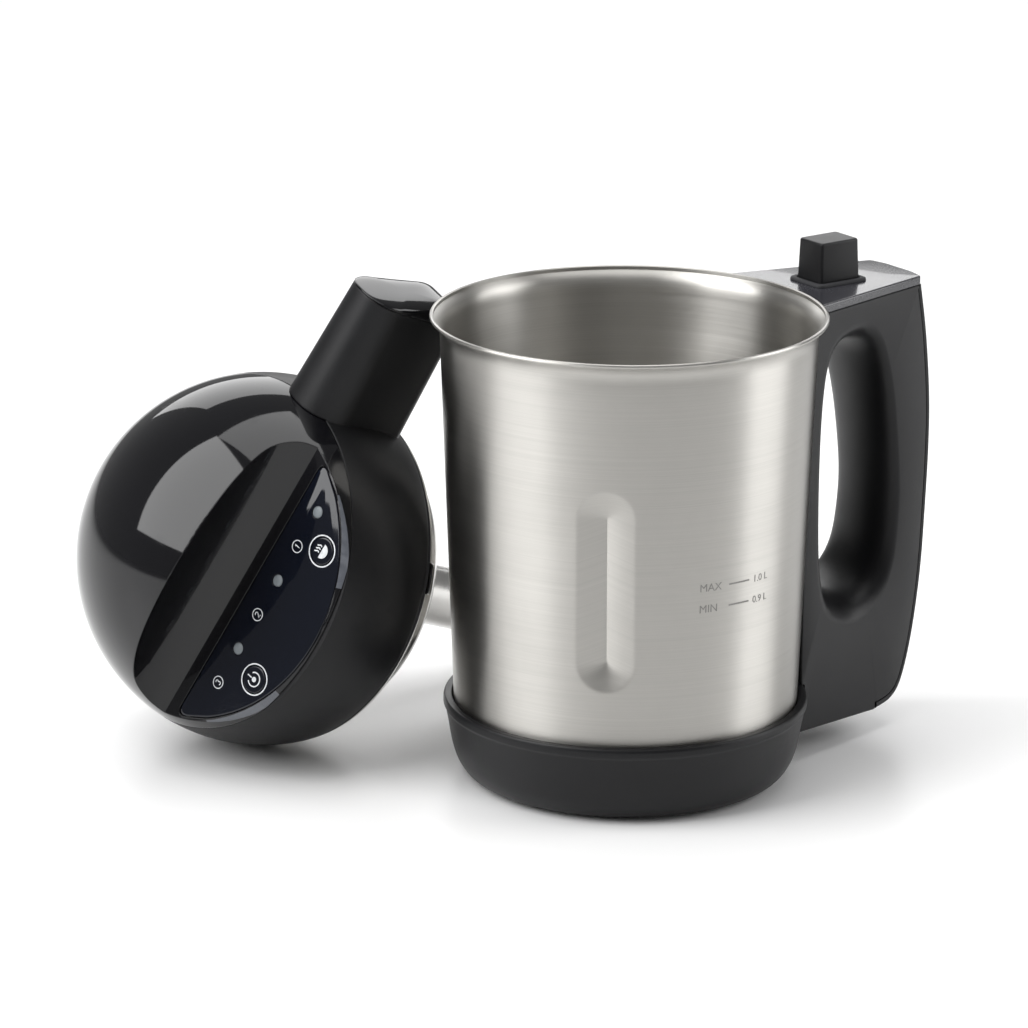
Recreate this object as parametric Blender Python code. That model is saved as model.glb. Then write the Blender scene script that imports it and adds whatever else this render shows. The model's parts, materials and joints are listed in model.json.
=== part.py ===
"""Soup maker: a steel jug on a heated base with a D handle, and its ball-shaped motor head beside it.

The jug stands on the origin with its axis along +Z and its handle along +X. The head is built upright
in a frame of its own (centre of the ball at the origin, arm along +X, control panel on the -Y side)
and an empty then lays it down behind the jug, leaning on the floor.
"""

import math

import bmesh
import bpy
from mathutils import Euler, Matrix, Vector

MM = 0.001
GAP = 0.3 * MM  # clearance between pieces that touch
TINY = 1e-7
TAU = 2 * math.pi

# ---- driving dimensions: jug ----
RIM_RADIUS = 75.0 * MM  # outside of the rolled rim
JUG_HEIGHT = 180.7 * MM
STEEL = 0.8 * MM  # vessel wall
WALL_TOP_INSET = 4.0 * MM  # rim overhang outside the wall
WALL_BOTTOM_INSET = 9.4 * MM  # rim radius less the wall radius at the base
BASE_HEIGHT = 31.5 * MM
BASE_LIP_WIDTH = 3.6 * MM
BASE_FLARE = 14.5 * MM  # foot radius less than the lip radius
FLOOR_HEIGHT = 20.0 * MM  # underside of the vessel
FLARE_HEIGHT = 10.0 * MM  # the wall's flare below the rim, which the head sits in
RIM_ROLL = 1.6 * MM  # depth of the rolled edge
FLUTE_ANGLE = math.radians(133.4)  # either side of the handle
FLUTE_WIDTH = 23.0 * MM
FLUTE_LENGTH = 79.0 * MM
FLUTE_CENTRE_DROP = 89.0 * MM  # flute centre below the rim
FLUTE_DEPTH = 4.2 * MM
PAD_INSET = 15.0 * MM  # inside the foot
PAD_THICKNESS = 1.2 * MM
BASE_SCREWS = 3
SCREW_TWIST = 0.06  # turns each ring of screws off the axes
SCREW_HEAD = 2.1 * MM  # radius
SCREW_SHANK = 1.2 * MM
SCREW_HOLE = SCREW_SHANK + GAP

# ---- driving dimensions: handle ----
HANDLE_DEPTH = 62.3 * MM  # rim to the outermost point of the grip
HANDLE_TOP_DROP = 0.7 * MM  # top plate below the rim
HANDLE_FOOT = 9.5 * MM  # underside of the handle above the floor
HANDLE_ROOT_WIDTH = 53.6 * MM
HANDLE_TIP_WIDTH = 31.0 * MM
HANDLE_EDGE = 2.2 * MM
TOP_PLATE = 3.2 * MM
COVER_THICKNESS = 2.3 * MM
CONNECTOR_OFFSET = 20.3 * MM  # rim to the middle of the connector block
CONNECTOR_LENGTH = 19.0 * MM
CONNECTOR_WIDTH = 15.0 * MM
CONNECTOR_HEIGHT = 16.6 * MM  # above the top plate
COLLAR_WIDTH = 2.6 * MM
COLLAR_HEIGHT = 2.2 * MM
CONTACTS = 3
CONTACT_WIDTH = 2.0 * MM
CONTACT_PITCH = 4.4 * MM
WIRING_RADIUS = 2.2 * MM
INLET_WIDTH = 26.0 * MM
INLET_HEIGHT = 19.0 * MM
INLET_DEPTH = 17.0 * MM

# ---- driving dimensions: head ----
HEAD_PLAY = 1.9 * MM  # between the head's flange and the inside of the vessel
BALL_OVERHANG = 0.3 * MM  # ball outside the flange where they meet
SHELL = 2.6 * MM
PARTING_HEIGHT = 21.3 * MM  # gloss cover above, bowl below
SEAT_LEVEL = -19.6 * MM  # underside of the bowl
SEAT_RING_WIDTH = 8.0 * MM
GASKET_THICKNESS = 1.9 * MM
RIDGE_Y = -26.5 * MM  # front edge of the dome above the finger recess
RECESS_Y = -17.0 * MM  # deepest line of the finger recess
DECK_BACK_Y = -24.0 * MM
DECK_BACK_HEIGHT = 29.6 * MM
DECK_TILT = math.radians(10.2)
BEZEL = 3.4 * MM
LENS_THICKNESS = 2.0 * MM
KEY_RADIUS = 5.2 * MM
KEY_TRAVEL = 0.8 * MM
KEY_STEM = 3.2 * MM  # below the key's cap
KEY_MARGIN = 2.9 * MM  # key to the lens's round edge
KEY_ANGLES = (math.radians(32.6), math.radians(-27.0))  # from the panel's middle line
PIP_RADIUS = 2.3 * MM
PIP_MARGIN = 12.0 * MM  # outermost pip to the lens's round edge
PIP_SHIFT = 2.3 * MM
PIP_ROW_DROP = 14.0 * MM  # in front of the deck's back edge
PIPS = 6
ARM_BEYOND = 31.2 * MM  # end of the arm past the middle of the socket
ARM_CAP_LENGTH = 9.0 * MM
CAP_LEAN = 8.0 * MM  # the cap's top edge behind its bottom edge
ARM_BOTTOM = -17.5 * MM
ARM_TOP = 27.0 * MM
ARM_ROOT_WIDTH = 32.0 * MM
ARM_TIP_WIDTH = 25.0 * MM
ARM_HEEL = 4.5 * MM  # rounding along the arm's lower edges
ARM_CROWN_SHARE = 0.92  # of half the arm's width, rounded along its upper edges
ARM_WALL = 2.2 * MM
SOCKET_CLEARANCE = 0.8 * MM
SOCKET_ROOF = 0.5 * MM
PLUNGER_RADIUS = 2.5 * MM
PLUNGER_REACH = 4.5 * MM  # into the socket
CUP_INSET = 7.8 * MM  # inside the flange
CUP_DEPTH = 16.0 * MM
CUP_WALL = 1.2 * MM
SEAT_LUGS = 3  # on the flange, resting in the jug's flare
SEAT_LUG_WIDTH = 12.0 * MM
SEAT_LUG_ANGLE = math.radians(60.0)  # first lug from the arm
SEAT_HEIGHT_SHARE = 0.48  # of the flare's height, where the lugs rest
TUBE_RADIUS = 12.0 * MM
TUBE_LENGTH = 98.0 * MM
GUARD_RADIUS = 15.8 * MM
GUARD_HEIGHT = 24.0 * MM
SHAFT_RADIUS = 3.0 * MM
SHAFT_CLEARANCE = 0.3 * MM
BLADE_RADIUS = 13.6 * MM
STATOR_SIDE = 50.0 * MM
STATOR_BOTTOM = -6.0 * MM
STATOR_TOP = 22.0 * MM
ARMATURE_RADIUS = 15.8 * MM
COIL_END = 4.0 * MM  # windings beyond each end of the stator
COMMUTATOR_LENGTH = 8.5 * MM
UPPER_BEARING_RADIUS = 7.2 * MM
LOWER_BEARING_RADIUS = 7.4 * MM
POST_CIRCLE = 29.0 * MM
THREAD_RADIUS = 2.2 * MM
NUT_RADIUS = 4.6 * MM
FAN_RADIUS = 22.0 * MM
PROBE_RADIUS = 1.8 * MM
PROBE_INSET = 20.5 * MM  # from the cup's wall
HEAD_SCREWS = 3

# ---- where the head lies ----
HEAD_AZIMUTH = math.radians(129.4)  # of the ball's centre about the jug axis
HEAD_LEAN = math.radians(-68.0)  # about the head's Y axis
HEAD_ROLL = math.radians(19.6)  # then about the world's X axis
FLOOR_CLEARANCE = 0.1 * MM
JUG_CLEARANCE = 0.5 * MM

BIG_STEPS = 32
SMALL_STEPS = 14
MIDDLE_STEPS = 18

# ---- sizes that follow ----
FLUTE_CENTRE = JUG_HEIGHT - FLUTE_CENTRE_DROP
WALL_TOP = RIM_RADIUS - WALL_TOP_INSET
WALL_BOTTOM = RIM_RADIUS - WALL_BOTTOM_INSET
NECK_HEIGHT = JUG_HEIGHT - FLARE_HEIGHT
BASE_LIP_RADIUS = WALL_BOTTOM + GAP + BASE_LIP_WIDTH
BASE_FOOT_RADIUS = BASE_LIP_RADIUS - BASE_FLARE
PAD_RADIUS = BASE_FOOT_RADIUS - PAD_INSET
COVER_RADIUS = BASE_FOOT_RADIUS - 2.0 * MM - GAP
LEDGE_RADIUS = COVER_RADIUS - 6.7 * MM
LEDGE_LOW = 4.0 * MM
LEDGE_HIGH = 8.5 * MM
BASE_SCREW_CIRCLE = (LEDGE_RADIUS + COVER_RADIUS) / 2
HANDLE_TOP = JUG_HEIGHT - HANDLE_TOP_DROP
HANDLE_HEIGHT = HANDLE_TOP - HANDLE_FOOT
HANDLE_BODY_TOP = HANDLE_TOP - TOP_PLATE - GAP
HANDLE_ROOT_X = RIM_RADIUS + 0.12 * HANDLE_DEPTH  # where the root width is measured
HANDLE_TIP_X = RIM_RADIUS + 0.868 * HANDLE_DEPTH  # where the tip width is measured
CONNECTOR_X = RIM_RADIUS + CONNECTOR_OFFSET
GASKET_TOP = SEAT_LEVEL - GAP
GASKET_BOTTOM = GASKET_TOP - GASKET_THICKNESS
FLANGE_TOP = GASKET_BOTTOM - GAP
FLANGE_BOTTOM = FLANGE_TOP - CUP_WALL
FLANGE_RADIUS = WALL_TOP - STEEL - HEAD_PLAY
BALL_RADIUS = math.hypot(FLANGE_RADIUS + BALL_OVERHANG, FLANGE_BOTTOM)
CUP_RADIUS = FLANGE_RADIUS - CUP_INSET
CUP_BOTTOM = FLANGE_TOP - CUP_DEPTH - CUP_WALL
TUBE_BOTTOM = CUP_BOTTOM - TUBE_LENGTH
GUARD_BOTTOM = TUBE_BOTTOM - GUARD_HEIGHT
PROBE_Y = CUP_RADIUS - PROBE_INSET
BORE_RADIUS = SHAFT_RADIUS + SHAFT_CLEARANCE
ARM_REACH = CONNECTOR_X + ARM_BEYOND
DECK_NORMAL = Vector((0, -math.sin(DECK_TILT), math.cos(DECK_TILT)))
LENS_RADIUS = 0.955 * BALL_RADIUS - BEZEL
KEY_REACH = LENS_RADIUS - KEY_RADIUS - KEY_MARGIN
PIP_Y = DECK_BACK_Y - PIP_ROW_DROP
PIP_HALF_ROW = math.sqrt(LENS_RADIUS**2 - PIP_Y**2) - PIP_MARGIN - PIP_SHIFT


def clear_scene():
    for obj in list(bpy.data.objects):
        bpy.data.objects.remove(obj, do_unlink=True)


def material(name, colour, roughness, metallic=0.0):
    made = bpy.data.materials.new(name)
    made.use_nodes = True
    made.diffuse_color = (*colour, 1.0)
    shader = made.node_tree.nodes["Principled BSDF"]
    shader.inputs["Base Color"].default_value = (*colour, 1.0)
    shader.inputs["Roughness"].default_value = roughness
    shader.inputs["Metallic"].default_value = metallic
    return made


def add(name, bm, finish=None, parent=None):
    """The finished bmesh as a named object, smooth but for its sharp edges."""
    bmesh.ops.recalc_face_normals(bm, faces=bm.faces)
    mesh = bpy.data.meshes.new(name)
    bm.to_mesh(mesh)
    bm.free()
    mesh.shade_smooth()
    mesh.set_sharp_from_angle(angle=math.radians(32))
    if finish:
        mesh.materials.append(finish)
    obj = bpy.data.objects.new(name, mesh)
    bpy.context.scene.collection.objects.link(obj)
    obj.parent = parent
    return obj


def frame_at(name, matrix, parent=None):
    empty = bpy.data.objects.new(name, None)
    bpy.context.scene.collection.objects.link(empty)
    empty.parent = parent
    empty.matrix_local = matrix
    return empty


def bridge(bm, ring, other):
    """Faces between two rings of vertices; a ring of one vertex is a pole."""
    count = max(len(ring), len(other))
    for i in range(count):
        j = (i + 1) % count
        corners = [
            ring[i % len(ring)], ring[j % len(ring)], other[j % len(other)], other[i % len(other)]
        ]
        bm.faces.new(list(dict.fromkeys(corners)))


def turned(name, outline, finish=None, parent=None, angles=BIG_STEPS, dent=None):
    """A solid turned about Z from (radius, height) points; off the axis the outline closes on itself."""
    bm = bmesh.new()
    if isinstance(angles, int):
        angles = [TAU * i / angles for i in range(angles)]
    rings = []
    for radius, height in outline:
        if radius < TINY:
            rings.append([bm.verts.new((0, 0, height))])
            continue
        ring = []
        for angle in angles:
            r = radius - (dent(angle, height) if dent else 0.0)
            ring.append(bm.verts.new((r * math.cos(angle), r * math.sin(angle), height)))
        rings.append(ring)
    for ring, other in zip(rings, rings[1:]):
        bridge(bm, ring, other)
    if len(rings[0]) > 1:
        bridge(bm, rings[-1], rings[0])
    return add(name, bm, finish, parent)


def ring_outline(inner, outer, low, high):
    return [(inner, low), (outer, low), (outer, high), (inner, high)]


def disc_outline(radius, low, high):
    return [(0, low), (radius, low), (radius, high), (0, high)]


def lofted(name, sections, finish=None, parent=None, closed=False):
    """A skin over equal rings of points, capped at both ends unless it closes on itself."""
    bm = bmesh.new()
    rings = [[bm.verts.new(point) for point in section] for section in sections]
    for ring, other in zip(rings, rings[1:]):
        bridge(bm, ring, other)
    if closed:
        bridge(bm, rings[-1], rings[0])
    else:
        bm.faces.new(rings[0])
        bm.faces.new(rings[-1])
    return add(name, bm, finish, parent)


def prism(name, outline, low, high, finish=None, parent=None, axis="Z"):
    """An outline of two coordinates, extruded along the third from low to high."""
    place = {
        "Z": lambda a, b, c: Vector((a, b, c)),
        "Y": lambda a, b, c: Vector((a, c, b)),
        "X": lambda a, b, c: Vector((c, a, b)),
    }[axis]
    sections = [[place(a, b, level) for a, b in outline] for level in (low, high)]
    return lofted(name, sections, finish, parent)


def rectangle(low, high, corner=0.0, steps=3):
    """A rectangle from one corner to the other, its corners rounded when a radius is given."""
    (x0, y0), (x1, y1) = low, high
    if corner <= 0:
        return [(x0, y0), (x1, y0), (x1, y1), (x0, y1)]
    points = []
    centres = ((x1 - corner, y0 + corner, -90), (x1 - corner, y1 - corner, 0))
    centres += ((x0 + corner, y1 - corner, 90), (x0 + corner, y0 + corner, 180))
    for x, y, start in centres:
        for i in range(steps + 1):
            angle = math.radians(start + 90 * i / steps)
            points.append((x + corner * math.cos(angle), y + corner * math.sin(angle)))
    return points


def box(name, low, high, finish=None, parent=None, corner=0.0):
    outline = rectangle(low[:2], high[:2], corner)
    return prism(name, outline, low[2], high[2], finish, parent)


def rod(name, points, radius, finish, sides=3):
    """A round bar along a smooth run of points, with closed ends."""
    curve = bpy.data.curves.new(name, "CURVE")
    curve.dimensions = "3D"
    curve.bevel_depth = radius
    curve.bevel_resolution = sides
    curve.use_fill_caps = True
    spline = curve.splines.new("POLY")
    spline.points.add(len(points) - 1)
    for target, point in zip(spline.points, points):
        target.co = (*point, 1.0)
    curve.materials.append(finish)
    obj = bpy.data.objects.new(name, curve)
    bpy.context.scene.collection.objects.link(obj)
    return obj


TOUGH_PIECES = ("cooling_fan", "under_cup", "lower_shell")  # the exact solver leaves open edges on these


def helper(obj):
    obj.hide_render = True
    obj.display_type = "WIRE"
    return obj


def boolean(obj, other, operation):
    modifier = obj.modifiers.new(f"{operation.lower()}_{len(obj.modifiers)}", "BOOLEAN")
    modifier.operation = operation
    modifier.solver = "MANIFOLD" if obj.name in TOUGH_PIECES else "EXACT"
    modifier.object = helper(other)
    return obj


def cut(obj, *others):
    for other in others:
        boolean(obj, other, "DIFFERENCE")
    return obj


def join(obj, *others):
    for other in others:
        boolean(obj, other, "UNION")
    return obj


def smooth_run(points, steps, closed=False):
    """Points along a Catmull-Rom curve through the given ones."""
    points = [Vector(p) for p in points]
    count = len(points)
    run = []
    spans = count if closed else count - 1
    for i in range(spans):
        if closed:
            a, b, c, d = (points[(i + k) % count] for k in (-1, 0, 1, 2))
        else:
            a, b = points[max(i - 1, 0)], points[i]
            c, d = points[i + 1], points[min(i + 2, count - 1)]
        for step in range(steps):
            t = step / steps
            square, cube = 2 * a - 5 * b + 4 * c - d, 3 * b - a - 3 * c + d
            run.append(0.5 * (2 * b + (c - a) * t + square * t**2 + cube * t**3))
    if not closed:
        run.append(points[-1])
    return run


def ball_arc(radius, low, high, steps):
    """(radius, height) points on the ball from one height to another."""
    start, end = math.asin(low / radius), math.asin(high / radius)
    angles = [start + (end - start) * i / steps for i in range(steps + 1)]
    return [(radius * math.cos(a), radius * math.sin(a)) for a in angles]


clear_scene()
STEEL_FINISH = material("brushed_steel", (0.62, 0.61, 0.59), 0.32, 1.0)
BLACK = material("satin_black_plastic", (0.022, 0.022, 0.024), 0.42)
GLOSS = material("gloss_black_plastic", (0.012, 0.012, 0.014), 0.08)
TOP_BLACK = material("polished_grey_plastic", (0.05, 0.05, 0.055), 0.25)
RUBBER = material("grey_rubber", (0.12, 0.12, 0.12), 0.75)
ZINC = material("zinc_plated_steel", (0.58, 0.57, 0.55), 0.35, 1.0)
ALUMINIUM = material("cast_aluminium", (0.70, 0.70, 0.71), 0.45, 1.0)
COPPER = material("copper_winding", (0.60, 0.25, 0.12), 0.35, 1.0)
BRASS = material("brass", (0.65, 0.48, 0.22), 0.3, 1.0)
LAMINATION = material("motor_lamination", (0.30, 0.31, 0.33), 0.5, 1.0)
BOARD = material("circuit_board", (0.03, 0.16, 0.07), 0.5)
NYLON = material("white_nylon", (0.75, 0.74, 0.70), 0.5)
CABLE = material("black_cable", (0.02, 0.02, 0.02), 0.6)
CLEAR = material("light_guide", (0.70, 0.74, 0.78), 0.2)


# ---- jug ----
def wall_radius(height):
    """Outside of the vessel wall at a height, without its flutes."""
    share = (height - BASE_HEIGHT) / (NECK_HEIGHT - BASE_HEIGHT)
    return WALL_BOTTOM + (WALL_TOP - WALL_BOTTOM) * share


def flute_dent(angle, height):
    """How far the wall is pressed in at a place: two long hollows with a crease down the middle."""
    rise = abs(height - FLUTE_CENTRE) / (FLUTE_LENGTH / 2)
    turn = min(abs(math.remainder(angle - side * FLUTE_ANGLE, TAU)) for side in (1, -1))
    across = turn * wall_radius(height) / (FLUTE_WIDTH / 2)
    half_width = FLUTE_WIDTH / FLUTE_LENGTH
    beyond = max(0.0, (rise - 1) / half_width + 1)
    reach = math.hypot(across, beyond)
    return FLUTE_DEPTH * min(1.0, 1.6 * max(0.0, 1 - reach))


def vessel_angles():
    """Even steps round the jug, closer together across each flute."""
    half = FLUTE_WIDTH / 2 / wall_radius(FLUTE_CENTRE)
    fine = [share * half for share in (-1.02, -0.7, -0.4, 0.0, 0.4, 0.7, 1.02)]
    angles = [math.remainder(side * FLUTE_ANGLE + step, TAU) for side in (1, -1) for step in fine]
    for i in range(BIG_STEPS):
        angle = math.remainder(TAU * i / BIG_STEPS, TAU)
        if min(abs(math.remainder(angle - side * FLUTE_ANGLE, TAU)) for side in (1, -1)) > 1.1 * half:
            angles.append(angle)
    return sorted(angles)


def wall_run(inset):
    """(radius, height) up the wall, with rows where a flute starts and ends."""
    half, end = FLUTE_LENGTH / 2, FLUTE_WIDTH / 2
    rows = [-half, -half + 0.35 * end, -half + end, half - end, half - 0.35 * end, half]
    heights = [BASE_HEIGHT] + [FLUTE_CENTRE + row for row in rows] + [NECK_HEIGHT]
    return [(wall_radius(h) - inset, h) for h in heights]


def flare_run(inset):
    """(radius, height) up the flare, from just above the neck to just below the rolled edge."""
    top = JUG_HEIGHT - RIM_ROLL
    outward = RIM_RADIUS - 0.6 * MM - WALL_TOP
    shares = ((0.30, 0.07), (0.58, 0.26), (0.82, 0.56), (1.0, 1.0))
    rise = top - NECK_HEIGHT
    return [(WALL_TOP - inset + outward * out, NECK_HEIGHT + rise * up) for up, out in shares]


def seat_radius(height):
    """Inside radius of the flare at a height."""
    run = [(WALL_TOP - STEEL, NECK_HEIGHT)] + flare_run(STEEL)
    for (low_r, low_z), (high_r, high_z) in zip(run, run[1:]):
        if low_z <= height <= high_z:
            return low_r + (high_r - low_r) * (height - low_z) / (high_z - low_z)
    return run[-1][0]


def make_vessel():
    foot = WALL_BOTTOM - 1.0 * MM
    bend = 6.0 * MM
    outside = [
        (0, FLOOR_HEIGHT), (foot - bend, FLOOR_HEIGHT), (foot - 0.3 * bend, FLOOR_HEIGHT + 0.3 * bend)
    ]
    outside += [(foot, FLOOR_HEIGHT + bend)] + wall_run(0.0) + flare_run(0.0)
    outside += [(RIM_RADIUS, JUG_HEIGHT - 0.75 * RIM_ROLL), (RIM_RADIUS, JUG_HEIGHT - 0.4 * RIM_ROLL)]
    outside += [(RIM_RADIUS - 0.7 * MM, JUG_HEIGHT)]
    inside = [(RIM_RADIUS - 1.6 * MM, JUG_HEIGHT - 0.2 * MM)]
    inside += flare_run(STEEL)[::-1] + wall_run(STEEL)[::-1]
    inside += [
        (foot - STEEL, FLOOR_HEIGHT + bend), (foot - bend, FLOOR_HEIGHT + STEEL),
        (0, FLOOR_HEIGHT + STEEL),
    ]
    return turned("vessel", outside + inside, STEEL_FINISH, angles=vessel_angles(), dent=flute_dent)


def base_outline():
    """Outside of the base from its foot to its lip."""
    shape = (
        (0.0, 0.02), (0.36, 0.07), (0.62, 0.22), (0.77, 0.42), (0.88, 0.70), (0.94, 0.84), (1.0, 0.89),
        (1.0, 0.97),
    )
    run = [(BASE_FOOT_RADIUS + BASE_FLARE * out, BASE_HEIGHT * up) for out, up in shape]
    return run + [(BASE_LIP_RADIUS - 0.8 * MM, BASE_HEIGHT)]


def make_base():
    lip_inner = WALL_BOTTOM + GAP
    cavity = WALL_BOTTOM - 7.0 * MM
    inside = [(lip_inner, BASE_HEIGHT), (lip_inner - 0.2 * MM, FLOOR_HEIGHT + 6 * MM)]
    inside += [
        (lip_inner - 0.6 * MM, FLOOR_HEIGHT - GAP), (cavity, FLOOR_HEIGHT - GAP), (cavity, LEDGE_HIGH)
    ]
    inside += [(LEDGE_RADIUS, LEDGE_HIGH), (LEDGE_RADIUS, LEDGE_LOW)]
    inside += [(COVER_RADIUS + GAP, LEDGE_LOW), (COVER_RADIUS + GAP, BASE_HEIGHT * 0.02)]
    housing = turned("base_housing", base_outline() + inside, BLACK, angles=vessel_angles())
    low, high = PAD_THICKNESS, LEDGE_LOW - GAP
    cover = turned("bottom_cover", disc_outline(COVER_RADIUS, low + GAP, high), BLACK)
    turned("anti_slip_pad", disc_outline(PAD_RADIUS, 0, low), RUBBER)
    for i in range(BASE_SCREWS):
        angle, name = TAU * (i + 0.5) / BASE_SCREWS + SCREW_TWIST, f"base_screw_{i + 1}"
        spot = (BASE_SCREW_CIRCLE * math.cos(angle), BASE_SCREW_CIRCLE * math.sin(angle), 0)
        seat = frame_at(f"{name}_seat", Matrix.Translation(spot))
        hole = disc_outline(SCREW_HOLE, 0, FLOOR_HEIGHT)
        hole = turned(f"{name}_hole", hole, None, seat, SMALL_STEPS)
        sink = disc_outline(SCREW_HEAD + GAP, 0, low + 1.3 * MM)
        sink = turned(f"{name}_sink", sink, None, seat, SMALL_STEPS)
        cut(housing, hole)
        cut(cover, hole, sink)
        under, tip = low + 1.0 * MM, LEDGE_HIGH - 0.4 * MM
        screw = [(0, low + 0.1 * MM), (SCREW_HEAD, low + 0.1 * MM), (SCREW_HEAD, under)]
        screw += [(SCREW_SHANK, under), (SCREW_SHANK, tip), (0, tip)]
        turned(name, screw, ZINC, seat, SMALL_STEPS)


def make_heater():
    plate_top = FLOOR_HEIGHT - GAP
    plate_low = plate_top - 3.0 * MM
    plate_radius = WALL_BOTTOM - 10.0 * MM
    turned("heat_plate", disc_outline(plate_radius, plate_low, plate_top), ALUMINIUM, angles=28)
    tube = 3.2 * MM
    coil = LEDGE_RADIUS - tube - 1.5 * MM
    height = plate_low - GAP - tube
    sweep = [math.radians(25 + 310 * i / 20) for i in range(21)]
    points = [(coil * math.cos(a), coil * math.sin(a), height) for a in sweep]
    rod("heating_element", points, tube, ZINC, sides=2)
    body = plate_low - GAP
    outline = [(0, body - 7 * MM), (5 * MM, body - 7 * MM), (5 * MM, body - 4 * MM)]
    outline += [(9 * MM, body - 4 * MM), (9 * MM, body), (0, body)]
    turned("thermostat", outline, ALUMINIUM, angles=SMALL_STEPS)


def jug_clearance(name, gap, top):
    """The room that the jug and its base take up, with a gap all round, as a cutter."""
    outline = [(0, -5 * MM)] + [(r + gap, z) for r, z in base_outline()]
    outline[1] = (outline[1][0], -5 * MM)
    rise = [(wall_radius(BASE_HEIGHT) + gap, BASE_HEIGHT + gap), (WALL_TOP + gap, NECK_HEIGHT)]
    rise += [(r + gap, z - gap) for r, z in flare_run(0.0)]
    rise += [(RIM_RADIUS + gap, JUG_HEIGHT - RIM_ROLL), (RIM_RADIUS + gap, top), (0, top)]
    return helper(turned(name, outline + rise, angles=72))


# ---- handle ----
OUTLINE_SHAPE = (  # shares of the depth from the rim and of the height, from the root's underside round
    (-0.234, 0.015), (0.515, 0.000), (0.674, 0.012), (0.780, 0.052), (0.874, 0.152), (0.945, 0.291),
    (0.978, 0.433), (1.000, 0.590), (0.993, 0.717), (0.945, 0.862), (0.877, 0.985),
)
HOLE_SHAPE = (  # the finger hole's edge on the side face, in the same shares
    (0.330, 0.934), (0.110, 0.928), (-0.020, 0.894), (-0.086, 0.825), (-0.120, 0.700), (-0.126, 0.520),
    (-0.104, 0.375), (-0.035, 0.283), (0.100, 0.242), (0.273, 0.226), (0.438, 0.240), (0.570, 0.275),
    (0.652, 0.328), (0.691, 0.400), (0.709, 0.500), (0.687, 0.610), (0.639, 0.730), (0.577, 0.820),
    (0.483, 0.894),
)
HOLE_CENTRE = (0.273, 0.575)
THROAT_CENTRE = (0.277, 0.578)
THROAT_SHARE = (0.70, 0.83)  # of the hole's width and height, at its narrowest


def handle_point(shares):
    return (RIM_RADIUS + HANDLE_DEPTH * shares[0], HANDLE_FOOT + HANDLE_HEIGHT * shares[1])


def half_width(x):
    """Half of the handle's width, which narrows away from the jug."""
    share = (x - HANDLE_ROOT_X) / (HANDLE_TIP_X - HANDLE_ROOT_X)
    return 0.5 * (HANDLE_ROOT_WIDTH + (HANDLE_TIP_WIDTH - HANDLE_ROOT_WIDTH) * share)


def hit(outline, centre, angle):
    """Where a ray from the centre meets a closed outline."""
    cx, cy = centre
    dx, dy = math.cos(angle), math.sin(angle)
    best = None
    for (ax, ay), (bx, by) in zip(outline, outline[1:] + outline[:1]):
        ex, ey = bx - ax, by - ay
        scale = dx * ey - dy * ex
        if abs(scale) < 1e-12:
            continue
        along = ((ax - cx) * ey - (ay - cy) * ex) / scale
        share = ((ax - cx) * dy - (ay - cy) * dx) / scale
        if along > 0 and -1e-9 <= share <= 1 + 1e-9 and (best is None or along > best):
            best = along
    return Vector((cx + dx * best, cy + dy * best))


def inset_outline(outline, distance):
    """The outline moved in along its own normals."""
    moved = []
    count = len(outline)
    for i in range(count):
        before, here, after = (Vector(outline[(i + k) % count]) for k in (-1, 0, 1))
        normals = [
            Vector((-(q - p).y, (q - p).x)).normalized() for p, q in ((before, here), (here, after))
        ]
        middle = (normals[0] + normals[1]).normalized()
        moved.append(tuple(here + middle * distance / max(middle.dot(normals[0]), 0.4)))
    return moved


def handle_outlines():
    root_x = handle_point(OUTLINE_SHAPE[0])[0]
    curve = [tuple(p) for p in smooth_run([handle_point(p) for p in OUTLINE_SHAPE[1:]], 2)]
    corner = (curve[-1][0], HANDLE_BODY_TOP)
    outer = [handle_point(OUTLINE_SHAPE[0])] + curve[:-1] + [corner, (root_x, HANDLE_BODY_TOP)]
    wide = [tuple(p) for p in smooth_run([handle_point(p) for p in HOLE_SHAPE], 2, closed=True)]
    centre, throat = Vector(handle_point(HOLE_CENTRE)), Vector(handle_point(THROAT_CENTRE))
    across, up = THROAT_SHARE
    narrow = [(throat.x + (x - centre.x) * across, throat.y + (z - centre.y) * up) for x, z in wide]
    return outer, wide, narrow


def cover_strip(outer):
    """The part of the outline that the outer cover follows, from the underside to the top."""
    return outer[1:-1]


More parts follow.
